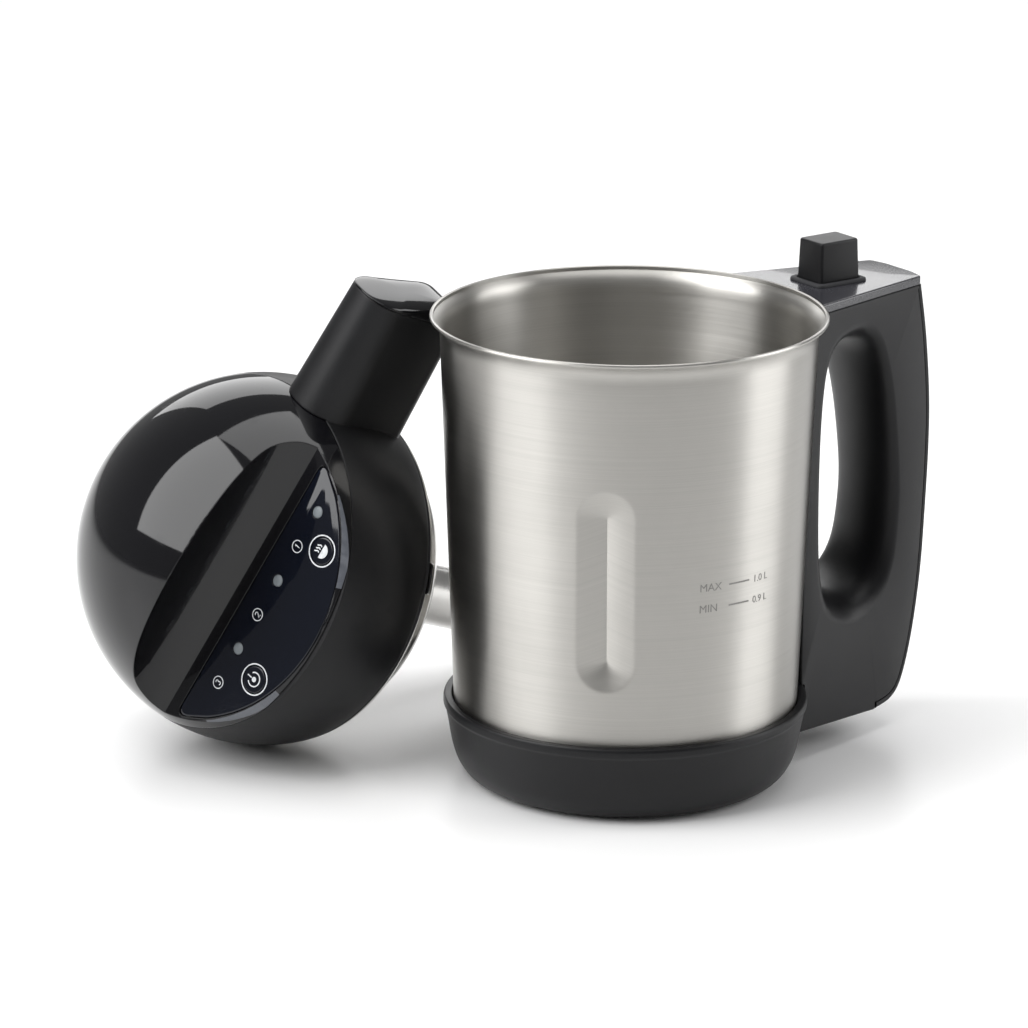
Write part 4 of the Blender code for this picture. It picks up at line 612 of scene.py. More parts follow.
def rectangle(low, high, corner=0.0, steps=8):
    (x0, y0), (x1, y1) = low, high
    if corner <= 0:
        return [(x0, y0), (x1, y0), (x1, y1), (x0, y1)]
    points = []
    centres = ((x1 - corner, y0 + corner, -90), (x1 - corner, y1 - corner, 0))
    centres += ((x0 + corner, y1 - corner, 90), (x0 + corner, y0 + corner, 180))
    for x, y, start in centres:
        for i in range(steps + 1):
            angle = math.radians(start + 90 * i / steps)
            points.append((x + corner * math.cos(angle), y + corner * math.sin(angle)))
    return points


def box(name, low, high, corner=0.0):
    return prism(name, rectangle(low[:2], high[:2], corner), low[2], high[2])


def combine(obj, operation, *others, solver="MANIFOLD", crease=SMOOTH):
    """Adds the others to the piece or takes them from it, and removes them."""
    for other in others:
        modifier = obj.modifiers.new(operation.lower(), "BOOLEAN")
        modifier.operation, modifier.solver, modifier.object = operation, solver, other
    graph = bpy.context.evaluated_depsgraph_get()
    mesh = bpy.data.meshes.new_from_object(obj.evaluated_get(graph))
    obj.modifiers.clear()
    old, obj.data = obj.data, mesh
    bpy.data.meshes.remove(old)
    mesh.shade_smooth()
    mesh.set_sharp_from_angle(angle=math.radians(crease))
    for other in others:
        bpy.data.objects.remove(other)
    return obj


def cut(obj, *others, **how):
    return combine(obj, "DIFFERENCE", *others, **how)


def join(obj, *others, **how):
    return combine(obj, "UNION", *others, **how)


def place(obj, slot, body, *nodes, at=None, finish=None):
    """The piece with its finish, where it belongs, riding on its body in place of the nodes."""
    obj.data.materials.clear()
    obj.data.materials.append(finish or FINISH[slot])
    if at is not None:
        obj.data.transform(at)
    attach(obj, body)
    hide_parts(*nodes)
    return obj


def smooth_run(points, steps, closed=False):
    """Points along a Catmull-Rom curve through the given ones."""
    points = [Vector(p) for p in points]
    count = len(points)
    run = []
    for i in range(count if closed else count - 1):
        if closed:
            a, b, c, d = (points[(i + k) % count] for k in (-1, 0, 1, 2))
        else:
            a, b = points[max(i - 1, 0)], points[i]
            c, d = points[i + 1], points[min(i + 2, count - 1)]
        for step in range(steps):
            t = step / steps
            square, cube = 2 * a - 5 * b + 4 * c - d, 3 * b - a - 3 * c + d
            run.append(0.5 * (2 * b + (c - a) * t + square * t**2 + cube * t**3))
    return run if closed else run + [points[-1]]


def ball_arc(radius, low, high, steps):
    """(radius, height) points on the ball from one height to another."""
    start, end = math.asin(low / radius), math.asin(high / radius)
    angles = [start + (end - start) * i / steps for i in range(steps + 1)]
    return [(radius * math.cos(a), radius * math.sin(a)) for a in angles]


# ---- jug ----
def wall_radius(height):
    share = (height - BASE_HEIGHT) / (NECK_HEIGHT - BASE_HEIGHT)
    return WALL_BOTTOM + (WALL_TOP - WALL_BOTTOM) * share


def flute_dent(angle, height):
    """How far the wall is pressed in: two long V-shaped hollows with coned ends and a soft edge."""
    rise = abs(height - FLUTE_CENTRE) / (FLUTE_LENGTH / 2)
    turn = min(abs(math.remainder(angle - side * FLUTE_ANGLE, TAU)) for side in (1, -1))
    across = turn * wall_radius(height) / (FLUTE_WIDTH / 2)
    beyond = max(0.0, (rise - 1) / (FLUTE_WIDTH / FLUTE_LENGTH) + 1)
    inward = max(0.0, 1.0 - math.hypot(across, beyond))
    soft = 0.10
    slope = inward - 0.5 * soft if inward > soft else 0.5 * inward**2 / soft
    return FLUTE_DEPTH * slope


def flare_run(inset, steps):
    top = JUG_HEIGHT - RIM_ROLL
    outward = RIM_RADIUS - 0.6 * MM - WALL_TOP
    run = []
    for i in range(1, steps + 1):
        up = i / steps
        run.append((WALL_TOP - inset + outward * up**3.4, NECK_HEIGHT + (top - NECK_HEIGHT) * up))
    return run


def vessel_angles():
    """Even steps round the jug, much closer together across each flute."""
    half = FLUTE_WIDTH / 2 / wall_radius(FLUTE_CENTRE)
    steps = [1.05 * half * i / 26 for i in range(-26, 27)]
    angles = [math.remainder(side * FLUTE_ANGLE + step, TAU) for side in (1, -1) for step in steps]
    for i in range(ROUND):
        angle = math.remainder(TAU * i / ROUND, TAU)
        if min(abs(math.remainder(angle - side * FLUTE_ANGLE, TAU)) for side in (1, -1)) > 1.08 * half:
            angles.append(angle)
    return sorted(angles)


def make_vessel():
    reach = 1.04 * FLUTE_LENGTH / 2
    low, high = FLUTE_CENTRE - reach, FLUTE_CENTRE + reach
    heights = [BASE_HEIGHT + (low - BASE_HEIGHT) * i / 6 for i in range(6)]
    heights += [FLUTE_CENTRE + reach * i / 64 for i in range(-64, 65)]
    heights += [high + (NECK_HEIGHT - high) * i / 10 for i in range(1, 11)]
    wall = [(wall_radius(h), h) for h in heights]
    foot, bend = WALL_BOTTOM - 1.0 * MM, 6.0 * MM
    outside = [(0, FLOOR_HEIGHT), (foot - bend, FLOOR_HEIGHT), (foot, FLOOR_HEIGHT + bend), wall[0]]
    outside = soften(outside, 4 * MM, 8, closed=False)[:-1] + wall + flare_run(0.0, 12)
    shape = ((0.15, 0.8), (0.02, 0.5), (0.25, 0.16), (0.8, 0.0125), (1.4, 0.2))
    roll = [(RIM_RADIUS - inward * MM, JUG_HEIGHT - down * RIM_ROLL) for inward, down in shape]
    inside = flare_run(STEEL, 12)[::-1] + [(r - STEEL, z) for r, z in wall[::-1]]
    floor = [(wall[0][0] - STEEL, wall[0][1]), (foot - STEEL, FLOOR_HEIGHT + bend)]
    floor += [(foot - bend, FLOOR_HEIGHT + STEEL), (0, FLOOR_HEIGHT + STEEL)]
    outline = outside + roll + inside + soften(floor, 4 * MM, 8, closed=False)[1:]
    vessel = turned("vessel_shell", outline, vessel_angles(), flute_dent)
    place(vessel, "brushed_steel", "jug", "vessel")


def lettering(name, text, size):
    """Plain raised letters as a mesh lying in X and Y."""
    curve = bpy.data.curves.new(name, "FONT")
    curve.body, curve.size, curve.extrude, curve.resolution_u = text, size, MARK_LIFT, 3
    letters = bpy.data.objects.new(name, curve)
    bpy.context.scene.collection.objects.link(letters)
    graph = bpy.context.evaluated_depsgraph_get()
    mesh = bpy.data.meshes.new_from_object(letters.evaluated_get(graph))
    bpy.data.objects.remove(letters)
    return mesh


def make_fill_marks():
    """Stamped fill levels: a word, a level line and the volume, wrapped round the wall."""
    bm = bmesh.new()
    for word, volume, level in MARK_LEVELS:
        runs = ((word, 0.0, 4.3 * MM), (volume, 24.0 * MM, 3.9 * MM))
        for text, start, size in runs:
            mesh = lettering("fill_mark_letters", text, size)
            mesh.transform(Matrix.Translation((start, level - 0.35 * size, 0)))
            bm.from_mesh(mesh)
            bpy.data.meshes.remove(mesh)
        cells, start, length, half = 14, 12.5 * MM, 9.5 * MM, 0.3 * MM
        for i in range(cells):
            x0, x1 = start + length * i / cells, start + length * (i + 1) / cells
            corners = ((x0, -half), (x1, -half), (x1, half), (x0, half))
            bm.faces.new([bm.verts.new((x, level + y, MARK_LIFT)) for x, y in corners])
    for vert in bm.verts:
        x, height, lift = vert.co
        radius = wall_radius(height) + 0.02 * MM + lift
        angle = MARK_ANGLE + x / wall_radius(height)
        vert.co = (radius * math.cos(angle), radius * math.sin(angle), height)
    marks = made_object("fill_marks", bm)
    place(marks, "brushed_steel", "jug", finish=ETCHED)


def base_outline():
    """(radius, height) up the outside of the base to its neck, and on round its lip."""
    shape = ((0.0, 0.02), (0.36, 0.07), (0.62, 0.22), (0.77, 0.42), (0.88, 0.70), (0.94, 0.84))
    foot = smooth_run([(BASE_FOOT_RADIUS + BASE_FLARE * out, BASE_HEIGHT * up) for out, up in shape], 6)
    lip = [(BASE_LIP_RADIUS - 0.7 * MM, 0.865 * BASE_HEIGHT), (BASE_LIP_RADIUS, 0.90 * BASE_HEIGHT)]
    crown = BASE_HEIGHT - 0.03 * MM
    lip += [(BASE_LIP_RADIUS, 0.965 * BASE_HEIGHT), (BASE_LIP_RADIUS - 0.5 * MM, crown)]
    lip = [foot[-1]] + lip + [(WALL_BOTTOM + GAP + 0.6 * MM, crown)]
    return foot, soften(lip, 0.5 * MM, 4, closed=False)[1:]


def make_base():
    foot, lip = base_outline()
    lip_inner, cavity = WALL_BOTTOM + GAP, WALL_BOTTOM - 7.0 * MM
    cover = BASE_FOOT_RADIUS - 2.3 * MM
    inside = [(lip_inner, BASE_HEIGHT - 0.8 * MM), (lip_inner - 0.2 * MM, FLOOR_HEIGHT + 6 * MM)]
    inside += [
        (lip_inner - 0.6 * MM, FLOOR_HEIGHT - GAP), (cavity, FLOOR_HEIGHT - GAP), (cavity, 8.5 * MM)
    ]
    inside += [(cover - 6.7 * MM, 8.5 * MM), (cover - 6.7 * MM, 4.0 * MM), (cover + GAP, 4.0 * MM)]
    inside += [(cover + GAP, 0.02 * BASE_HEIGHT)]
    outline = foot + lip + soften(inside, 0.3 * MM, 2, closed=False)
    place(turned("base_shell", outline), "satin_black", "jug", "base_housing")
    pad, top, groove = BASE_FOOT_RADIUS - 15.0 * MM, 1.2 * MM, 0.35 * MM
    outline = [(0, 0)]
    for i in range(9):
        r = pad * (i + 1) / 10
        outline += [
            (r - 0.5 * MM, 0), (r - 0.3 * MM, groove), (r + 0.3 * MM, groove), (r + 0.5 * MM, 0)
        ]
    outline += [(pad - 0.3 * MM, 0), (pad, 0.3 * MM), (pad, top), (0, top)]
    place(turned("foot_pad", outline), "rubber", "jug", "anti_slip_pad")


# ---- handle ----
def handle_point(shares):
    return (RIM_RADIUS + HANDLE_DEPTH * shares[0], HANDLE_FOOT + HANDLE_HEIGHT * shares[1])


def half_width(x):
    share = (x - HANDLE_ROOT_X) / (HANDLE_TIP_X - HANDLE_ROOT_X)
    return 0.5 * (HANDLE_ROOT_WIDTH + (HANDLE_TIP_WIDTH - HANDLE_ROOT_WIDTH) * share)


def hit(outline, centre, angle):
    """Where a ray from the centre meets a closed outline."""
    cx, cy = centre
    dx, dy = math.cos(angle), math.sin(angle)
    best = 0.0
    for (ax, ay), (bx, by) in zip(outline, outline[1:] + outline[:1]):
        ex, ey = bx - ax, by - ay
        scale = dx * ey - dy * ex
        if abs(scale) < 1e-12:
            continue
        along = ((ax - cx) * ey - (ay - cy) * ex) / scale
        share = ((ax - cx) * dy - (ay - cy) * dx) / scale
        if -1e-9 <= share <= 1 + 1e-9:
            best = max(best, along)
    return Vector((cx + dx * best, cy + dy * best))


def inset_outline(outline, distance):
    """The outline moved in along its own normals."""
    moved = []
    count = len(outline)
    for i in range(count):
        before, here, after = (Vector(outline[(i + k) % count]) for k in (-1, 0, 1))
        sides = (here - before, after - here)
        normals = [Vector((-side.y, side.x)).normalized() for side in sides]
        middle = (normals[0] + normals[1]).normalized()
        moved.append(tuple(here + middle * distance / max(middle.dot(normals[0]), 0.4)))
    return moved


def handle_outlines(steps=8):
    root = handle_point(OUTLINE_SHAPE[0])
    curve = [tuple(p) for p in smooth_run([handle_point(p) for p in OUTLINE_SHAPE[1:]], steps)]
    outer = [root] + curve[:-1] + [(curve[-1][0], HANDLE_BODY_TOP), (root[0], HANDLE_BODY_TOP)]
    wide = [tuple(p) for p in smooth_run([handle_point(p) for p in HOLE_SHAPE], steps, closed=True)]
    centre, throat = Vector(handle_point(HOLE_CENTRE)), Vector(handle_point(THROAT_CENTRE))
    across, up = THROAT_SHARE
    narrow = [(throat.x + (x - centre.x) * across, throat.y + (z - centre.y) * up) for x, z in wide]
    return outer, wide, narrow


def jug_room(gap):
    """The space that the jug and its base take up, with a gap all round."""
    foot, lip = base_outline()
    low, high, rim = -5 * MM, JUG_HEIGHT + 9 * MM, RIM_RADIUS + gap
    outline = [(0, low), (BASE_FOOT_RADIUS + gap, low)]
    outline += [(r + gap, z) for r, z in foot + lip[:-4]]
    outline += [(WALL_BOTTOM + gap, BASE_HEIGHT + gap), (WALL_TOP + gap, NECK_HEIGHT)]
    outline += [(r + gap, z - gap) for r, z in flare_run(0.0, 10)]
    return turned("jug_room", outline + [(rim, JUG_HEIGHT - RIM_ROLL), (rim, high), (0, high)])


def inlet_seat():
    """Where the power inlet sits: the middle of its face, with X along the way the plug comes out."""
    low, high = Vector(handle_point((0.780, 0.052))), Vector(handle_point((0.874, 0.152)))
    along = (high - low).normalized()
    middle = low + (high - low) * 0.72
    turn = Matrix(((along.y, 0, along.x), (0, 1, 0), (-along.x, 0, along.y))).to_4x4()
    return Matrix.Translation((middle.x, 0, middle.y)) @ turn


def inlet_room():
    y, z = INLET_WIDTH / 2 + GAP, INLET_HEIGHT / 2 + GAP
    room = rectangle((-y, -z), (y, z), 2 * MM)
    room = prism("inlet_room", room, -INLET_DEPTH - GAP, 12 * MM, "X")
    room.matrix_world = inlet_seat()
    bpy.context.view_layer.update()
    return room


def make_handle():
    """The grip, its finger hole drawn in to a throat, and its edges rounded."""
    outer, wide, narrow = handle_outlines()
    centre = handle_point(HOLE_CENTRE)
    inset = inset_outline(outer, COVER_THICKNESS + GAP)
    step = outer[1][0] - 2 * GAP
    body = [outer[0], (step, outer[1][1]), (step, inset[2][1] + GAP)] + inset[2:-2]
    body += [(inset[-2][0], HANDLE_BODY_TOP), outer[-1]]
    corners = {round(math.atan2(z - centre[1], x - centre[0]), 5) for x, z in body}
    angles = sorted(corners | {round(-math.pi + TAU * i / 200, 5) for i in range(200)})
    rolls = [math.radians(90 * i / 12) for i in range(13)]
    edge = 0.9 * MM
    bm = bmesh.new()
    sides = []
    for side in (-1, 1):
        half = []
        for roll in rolls:
            ring = []
            for angle in angles:
                near, far = hit(narrow, centre, angle), hit(wide, centre, angle)
                spot = far + (near - far) * math.cos(roll)
                ring.append((spot.x, side * half_width(far.x) * math.sin(roll), spot.y))
            half.append(ring)
        ends = [hit(body, centre, angle) for angle in angles]
        ways = [(end - hit(wide, centre, angle)).normalized() for end, angle in zip(ends, angles)]
        for lift in (0, 30, 60, 90):
            lift = math.radians(lift)
            inward, down = edge * (1 - math.sin(lift)), edge * (1 - math.cos(lift))
            spots = [end - way * inward for end, way in zip(ends, ways)]
            half.append([(spot.x, side * (half_width(spot.x) - down), spot.y) for spot in spots])
        sides.append(half)
    skins = [[bm.verts.new(point) for point in ring] for ring in sides[0][::-1] + sides[1][1:]]
    for ring, other in zip(skins, skins[1:]):
        bridge(bm, ring, other)
    bridge(bm, skins[-1], skins[0])
    handle = made_object("handle_grip", bm, 40)
    cut(handle, jug_room(2 * GAP), inlet_room(), crease=40)
    place(handle, "satin_black", "jug", "handle_body")
    make_cover(outer)
    make_top()
    make_inlet()


def make_cover(outer):
    """The outer cover: a strip with rolled edges that follows the handle's outline."""
    strip = outer[1:-1]
    lifted = inset_outline(outer, COVER_THICKNESS)[1:-1]
    lifted[0] = (strip[0][0], strip[0][1] + COVER_THICKNESS)
    lifted[-1] = (lifted[-1][0], strip[-1][1])
    edge = 2.2 * MM
    sections = []
    for (x, z), (ix, iz) in zip(strip, lifted):
        w = half_width(x)
        half = [(ix, w - 0.25 * MM, iz), (ix + 0.12 * (x - ix), w, iz + 0.12 * (z - iz))]
        for turn in (0, 18, 36, 54, 72, 90):
            out = 0.55 + 0.45 * math.sin(math.radians(turn))
            in_from_side = edge * (1 - math.cos(math.radians(turn)))
            half.append((ix + out * (x - ix), w - in_from_side, iz + out * (z - iz)))
        sections.append(half + [(px, -y, pz) for px, y, pz in half[::-1]])
    sections[0] = [(px + 0.4 * MM, y, pz) for px, y, pz in sections[0]]
    cover = lofted("handle_outer_cover", sections, crease=40)
    cut(cover, inlet_room(), crease=40)
    place(cover, "satin_black", "jug", "handle_cover")


def flat(x, y, level):
    return Vector((x, y, level))


def make_top():
    """Top plate, connector block and the collar round it."""
    low, high = HANDLE_BODY_TOP + 0.06 * MM, HANDLE_TOP
    tip, root = HANDLE_TIP_X, handle_point(OUTLINE_SHAPE[0])[0]
    plan = [
        (root, -half_width(root)), (tip, -half_width(tip)), (tip + 1.5 * MM, -0.5 * half_width(tip))
    ]
    plan = [tuple(p) for p in soften(plan + [(x, -y) for x, y in plan[::-1]], 1.6 * MM, 5)]
    levels = ((low, 0.25), (low + 0.25 * MM, 0.0), (high - 0.7 * MM, 0.0), (high - 0.35 * MM, 0.10))
    levels += ((high - 0.1 * MM, 0.35), (high, 0.75))
    plate = stacked("handle_top_plate", [(plan, level, inward * MM) for level, inward in levels], flat)
    x0, x1 = CONNECTOR_X - CONNECTOR_LENGTH / 2, CONNECTOR_X + CONNECTOR_LENGTH / 2
    y1 = CONNECTOR_WIDTH / 2
    rim = turned("rim_room", disc_outline(RIM_RADIUS + 2 * GAP, low - 5 * MM, high + 5 * MM))
    near, far = (x0 - GAP, -y1 - GAP, low - MM), (x1 + GAP, y1 + GAP, high + MM)
    cut(plate, rim, box("connector_window", near, far, 1.8 * MM))
    place(plate, "polished_grey", "jug", "handle_top_cap")
    make_connector(low, high, (x0, x1, y1))
    edge, gap = 2.6 * MM, GAP + 0.1 * MM
    outer = rectangle((x0 - edge, -y1 - edge), (x1 + edge, y1 + edge), 3 * MM)
    inner = rectangle((x0 - gap, -y1 - gap), (x1 + gap, y1 + gap), 1.9 * MM)
    base, crown = high + 0.05 * MM, high + 1.3 * MM
    rings = [(outer, base, 0.0), (outer, crown - 0.8 * MM, 0.0), (outer, crown - 0.25 * MM, 0.25 * MM)]
    rings += [(outer, crown, 0.8 * MM), (inner, crown, -0.5 * MM), (inner, crown - 0.3 * MM, -0.1 * MM)]
    rings += [(inner, crown - 0.6 * MM, 0.0), (inner, base, 0.0)]
    seal = stacked("connector_seal", rings, flat, closed=True)
    place(seal, "rubber", "jug", "connector_collar")


def make_connector(low, high, sides):
    """The tapered block that the head's arm plugs onto, with a slot for each contact."""
    x0, x1, y1 = sides
    sections = []
    top = CONNECTOR_TOP
    levels = ((low, 0.0), (high, 0.0), (top - 0.9 * MM, 0.5), (top - 0.5 * MM, 0.56))
    for level, shrink in levels + ((top - 0.2 * MM, 0.75), (top - 0.05 * MM, 1.05), (top, 1.5)):
        s = shrink * MM
        outline = rectangle((x0 + s, -y1 + s), (x1 - s, y1 - s), 1.1 * MM, 6)
        sections.append([Vector((x, y, level)) for x, y in outline])
    block = lofted("connector_plug", sections, crease=40)
    low_slot, high_slot = high + 4.2 * MM - GAP, top - 3 * MM + GAP
    for i in range(3):
        y = (i - 1) * 4.4 * MM
        near, far = (x1 - 2.4 * MM, y - 1.3 * MM, low_slot), (x1 + 2 * MM, y + 1.3 * MM, high_slot)
        cut(block, box("contact_slot", near, far), crease=40)
    place(block, "satin_black", "jug", "connector_block")


def make_inlet():
    """Power inlet with a rolled mouth, in its seat at the foot of the grip."""
    y, z, wall = INLET_WIDTH / 2, INLET_HEIGHT / 2, 2.6 * MM
    outer = rectangle((-y, -z), (y, z), 2 * MM, 6)
    mouth = rectangle((wall - y, wall - z), (y - wall, z - wall), 1.2 * MM, 6)
    rings = [
        (outer, -INLET_DEPTH / MM, 0.0), (outer, -1.0, 0.0), (outer, -0.7, 0.15), (outer, -0.6, 0.45)
    ]
    rings += [(mouth, -0.6, -0.5), (mouth, -0.75, -0.15), (mouth, -1.2, 0.0), (mouth, -14.5, 0.0)]
    rings = [(outline, depth * MM, inward * MM) for outline, depth, inward in rings]
    socket = stacked("inlet_socket", rings, lambda y, z, depth: Vector((depth, y, z)), crease=40)
    place(socket, "gloss_black", "jug", "power_inlet", at=inlet_seat())


# ---- head ----
def deck_height(y):
    return DECK_BACK_HEIGHT + (y - DECK_BACK_Y) * math.tan(DECK_TILT)


def on_deck(name, outline, low, high):
    """A prism standing square on the deck, between two heights above it."""
    return deck_loft(name, [(outline, low), (outline, high)])


def above_deck(x, y, height):
    """The point over a place on the deck, at a height square to it."""
    return Vector((x, y, deck_height(y))) + DECK_NORMAL * height


def deck_loft(name, layers, closed=False):
    """A skin over outlines at several heights above the deck."""
    sections = [[above_deck(x, y, level) for x, y in outline] for outline, level in layers]
    return lofted(name, sections, closed)


def circle(x, y, radius, steps=48):
    turns, lean = [TAU * i / steps for i in range(steps)], math.cos(DECK_TILT)
    return [(x + radius * math.cos(turn), y + radius * lean * math.sin(turn)) for turn in turns]


def lens_outline(grow, steps=72):
    """The D of the panel lens: a chord at the back and an arc in front, with its two tips rounded."""
    radius = LENS_RADIUS + grow
    back = DECK_BACK_Y - 5.0 * MM + grow
    start = math.pi + math.asin(-back / radius)
    end = TAU - math.asin(-back / radius)
    turns = [start + (end - start) * i / steps for i in range(steps + 1)]
    points = [(radius * math.cos(a), radius * math.sin(a)) for a in turns]
    tip, trim = 7, 14 * MM
    rounded = [(x + trim if x < 0 else x - trim, y) for x, y in (points[0], points[-1])]
    corners = soften([rounded[0], points[0], points[tip]], 6 * MM, 12, closed=False)
    others = soften([points[-1 - tip], points[-1], rounded[1]], 6 * MM, 12, closed=False)
    return [tuple(p) for p in corners[:-1]] + points[tip:-tip] + [tuple(p) for p in others[1:]]


def front_cut(name, sink):
    """Everything in front of the dome's ridge and above the deck, moved in by a wall's thickness."""
    far = -2 * BALL_RADIUS
    top = math.sqrt(BALL_RADIUS**2 - RIDGE_Y**2)
    deck = DECK_BACK_HEIGHT - sink
    wall = [
        (DECK_BACK_Y, deck), (0.5 * (DECK_BACK_Y + RECESS_Y) + 1.2 * MM, deck + 0.16 * (top - deck)),
        (RECESS_Y, deck + 0.42 * (top - deck)), (
            0.6 * RECESS_Y + 0.4 * RIDGE_Y, deck + 0.72 * (top - deck)
        ),
        (RIDGE_Y, top),
    ]
    curve = [(p.x + sink, p.y) for p in smooth_run(wall, 14)]
    outline = [(far, deck + (far - DECK_BACK_Y) * math.tan(DECK_TILT))] + curve
    outline += [(RIDGE_Y + sink, 2 * BALL_RADIUS), (far, 2 * BALL_RADIUS)]
    return prism(name, outline, -2 * BALL_RADIUS, 2 * BALL_RADIUS, axis="X")


def pip_places():
    return [(PIP_SHIFT + PIP_HALF_ROW * (2 * i / (PIPS - 1) - 1), PIP_Y) for i in range(PIPS)]


def key_places():
    return [(name, KEY_REACH * math.sin(angle), -KEY_REACH * math.cos(angle)) for name, angle in KEYS]


def make_dome():
    low = PARTING_HEIGHT + GAP / 2
    arc = ball_arc(BALL_RADIUS, low, BALL_RADIUS * 0.99999, 56)
    dome = turned("dome_cover", [(0, low)] + arc[:-1] + [(0, BALL_RADIUS)], 256)
    cut(dome, front_cut("front_cut", 0.0))
    inner = BALL_RADIUS - SHELL
    arc = ball_arc(inner, low - 3 * MM, inner * 0.9999, 20)
    core = turned("dome_core", [(0, low - 3 * MM)] + arc[:-1] + [(0, inner)], 96)
    cut(core, front_cut("front_cut_inner", SHELL))
    cut(dome, core)
    pocket = on_deck("lens_pocket", lens_outline(GAP), -LENS_THICKNESS - GAP, 10 * MM)
    ledge = on_deck("lens_ledge", lens_outline(-1.2 * MM), -12 * MM, 10 * MM)
    cut(dome, pocket, ledge)
    far = 1.6 * BALL_RADIUS
    inner, drop = LENS_RADIUS + 1.5 * MM, 1.5 * MM
    rings = [(inner, 0.0), (inner + 2.6 * MM, -drop), (far, -drop), (far, 0.5 * MM), (inner, 0.5 * MM)]
    bevel = deck_loft("deck_bevel", [(circle(0, 0, r, 192), level) for r, level in rings], closed=True)
    behind = box("bevel_stop", (-far, DECK_BACK_Y - 0.5 * MM, -far), (far, 2 * far, 2 * far))
    cut(bevel, behind)
    cut(dome, bevel)
    bevelled = []
    for face in dome.data.polygons:
        out = math.hypot(face.center.x, face.center.y)
        bevelled.append(out > inner - 0.1 * MM and 0.80 < face.normal.dot(DECK_NORMAL) < 0.93)
    place(dome, "gloss_black", "head", "top_cover", at=HEAD)
    # The tilted bevel faces round the lens take the paler material, a painted sheen.
    dome.data.materials.append(BEVEL_PAINTED_SHEEN)
    for face, is_bevel in zip(dome.data.polygons, bevelled):
        face.material_index = 1 if is_bevel else 0


def make_panel():
    """Lens with its printed rings, the light guide's six pips and the two keys with their symbols."""
    layers = [
        (-LENS_THICKNESS, 0.2), (-LENS_THICKNESS + 0.2 * MM, 0.0), (-0.45 * MM, 0.0), (-0.2 * MM, 0.08)
    ]
    layers += [(-0.06 * MM, 0.25), (0.0, 0.55)]
    lens = deck_loft("panel_face", [(lens_outline(-inward * MM), level) for level, inward in layers])
    holes = [circle(x, y, PIP_RADIUS + 0.15 * MM) for x, y in pip_places()]
    holes += [circle(x, y, KEY_RADIUS + 0.25 * MM, 64) for _, x, y in key_places()]
    cut(lens, *[on_deck("lens_hole", hole, -5 * MM, 5 * MM) for hole in holes])
    place(lens, "panel_gloss", "head", "panel_lens", at=HEAD)
    bar, tall = PIP_HALF_ROW + PIP_RADIUS + 0.7 * MM, PIP_RADIUS + 0.5 * MM
    strip = rectangle((PIP_SHIFT - bar, PIP_Y - tall), (PIP_SHIFT + bar, PIP_Y + tall), 2 * MM)
    under = -LENS_THICKNESS - GAP
    guide = on_deck("pip_light_guide", strip, under - 2.0 * MM, under)
    shape = ((1.0, under - 1.0 * MM), (1.0, -0.35 * MM), (0.85, -0.14 * MM), (0.45, -0.06 * MM))
    for x, y in pip_places():
        layers = [(circle(x, y, share * PIP_RADIUS), level) for share, level in shape]
        join(guide, deck_loft("pip", layers))
    place(guide, "light_guide", "head", "light_guide", at=HEAD)
    make_prints()
    for name, x, y in key_places():
        seat = HEAD @ Matrix.Translation((x, y, deck_height(y))) @ Matrix.Rotation(DECK_TILT, 4, "X")
        low, foot = -LENS_THICKNESS - 1.0 * MM, -LENS_THICKNESS - 4.2 * MM
        outline = [(0, foot), (2.0 * MM, foot), (2.0 * MM, low), (KEY_RADIUS, low)]
        outline += [(KEY_RADIUS, 0.2 * MM), (0.6 * KEY_RADIUS, 0.16 * MM), (0, 0.12 * MM)]
        key = turned_soft(name + "_cap", outline, 0.45 * MM, 96, 4)
        place(key, "panel_gloss", name, name, at=seat)
        make_symbol(name, seat)


def flat_band(bm, points, width, height, place_at):
    """A thin printed line of one width along an open or closed run of points."""
    closed = (Vector(points[0]) - Vector(points[-1])).length < 1e-9
    run = [Vector(p) for p in (points[:-1] if closed else points)]
    count = len(run)
    rails = []
    for i, here in enumerate(run):
        before = run[i - 1] if closed or i else here
        after = run[(i + 1) % count] if closed or i < count - 1 else here
        along = (after - before).normalized()
        across = Vector((-along.y, along.x)) * width / 2
        rails.append([bm.verts.new(place_at(p.x, p.y, height)) for p in (here - across, here + across)])
    for i in range(count if closed else count - 1):
        a, b = rails[i], rails[(i + 1) % count]
        bm.faces.new((a[0], b[0], b[1], a[1]))


def ring_points(x, y, radius, start=0.0, end=360.0, steps=48):
    turns = [math.radians(start + (end - start) * i / steps) for i in range(steps + 1)]
    points = [(x + radius * math.cos(a), y + radius * math.sin(a)) for a in turns]
    if end - start == 360.0:
        points[-1] = points[0]
    return points


def figure_strokes(number):
    """A plain figure as runs of points in a box one unit high."""
    return {
        1: [(-0.15, 0.3), (0.05, 0.5), (0.05, -0.5)],
        2: ring_points(0, 0.22, 0.28, 170, -40, 10) + [(-0.28, -0.5), (0.3, -0.5)],
        3: ring_points(0, 0.25, 0.25, 150, -80, 10) + ring_points(0, -0.23, 0.27, 80, -150, 10),
    }[number]


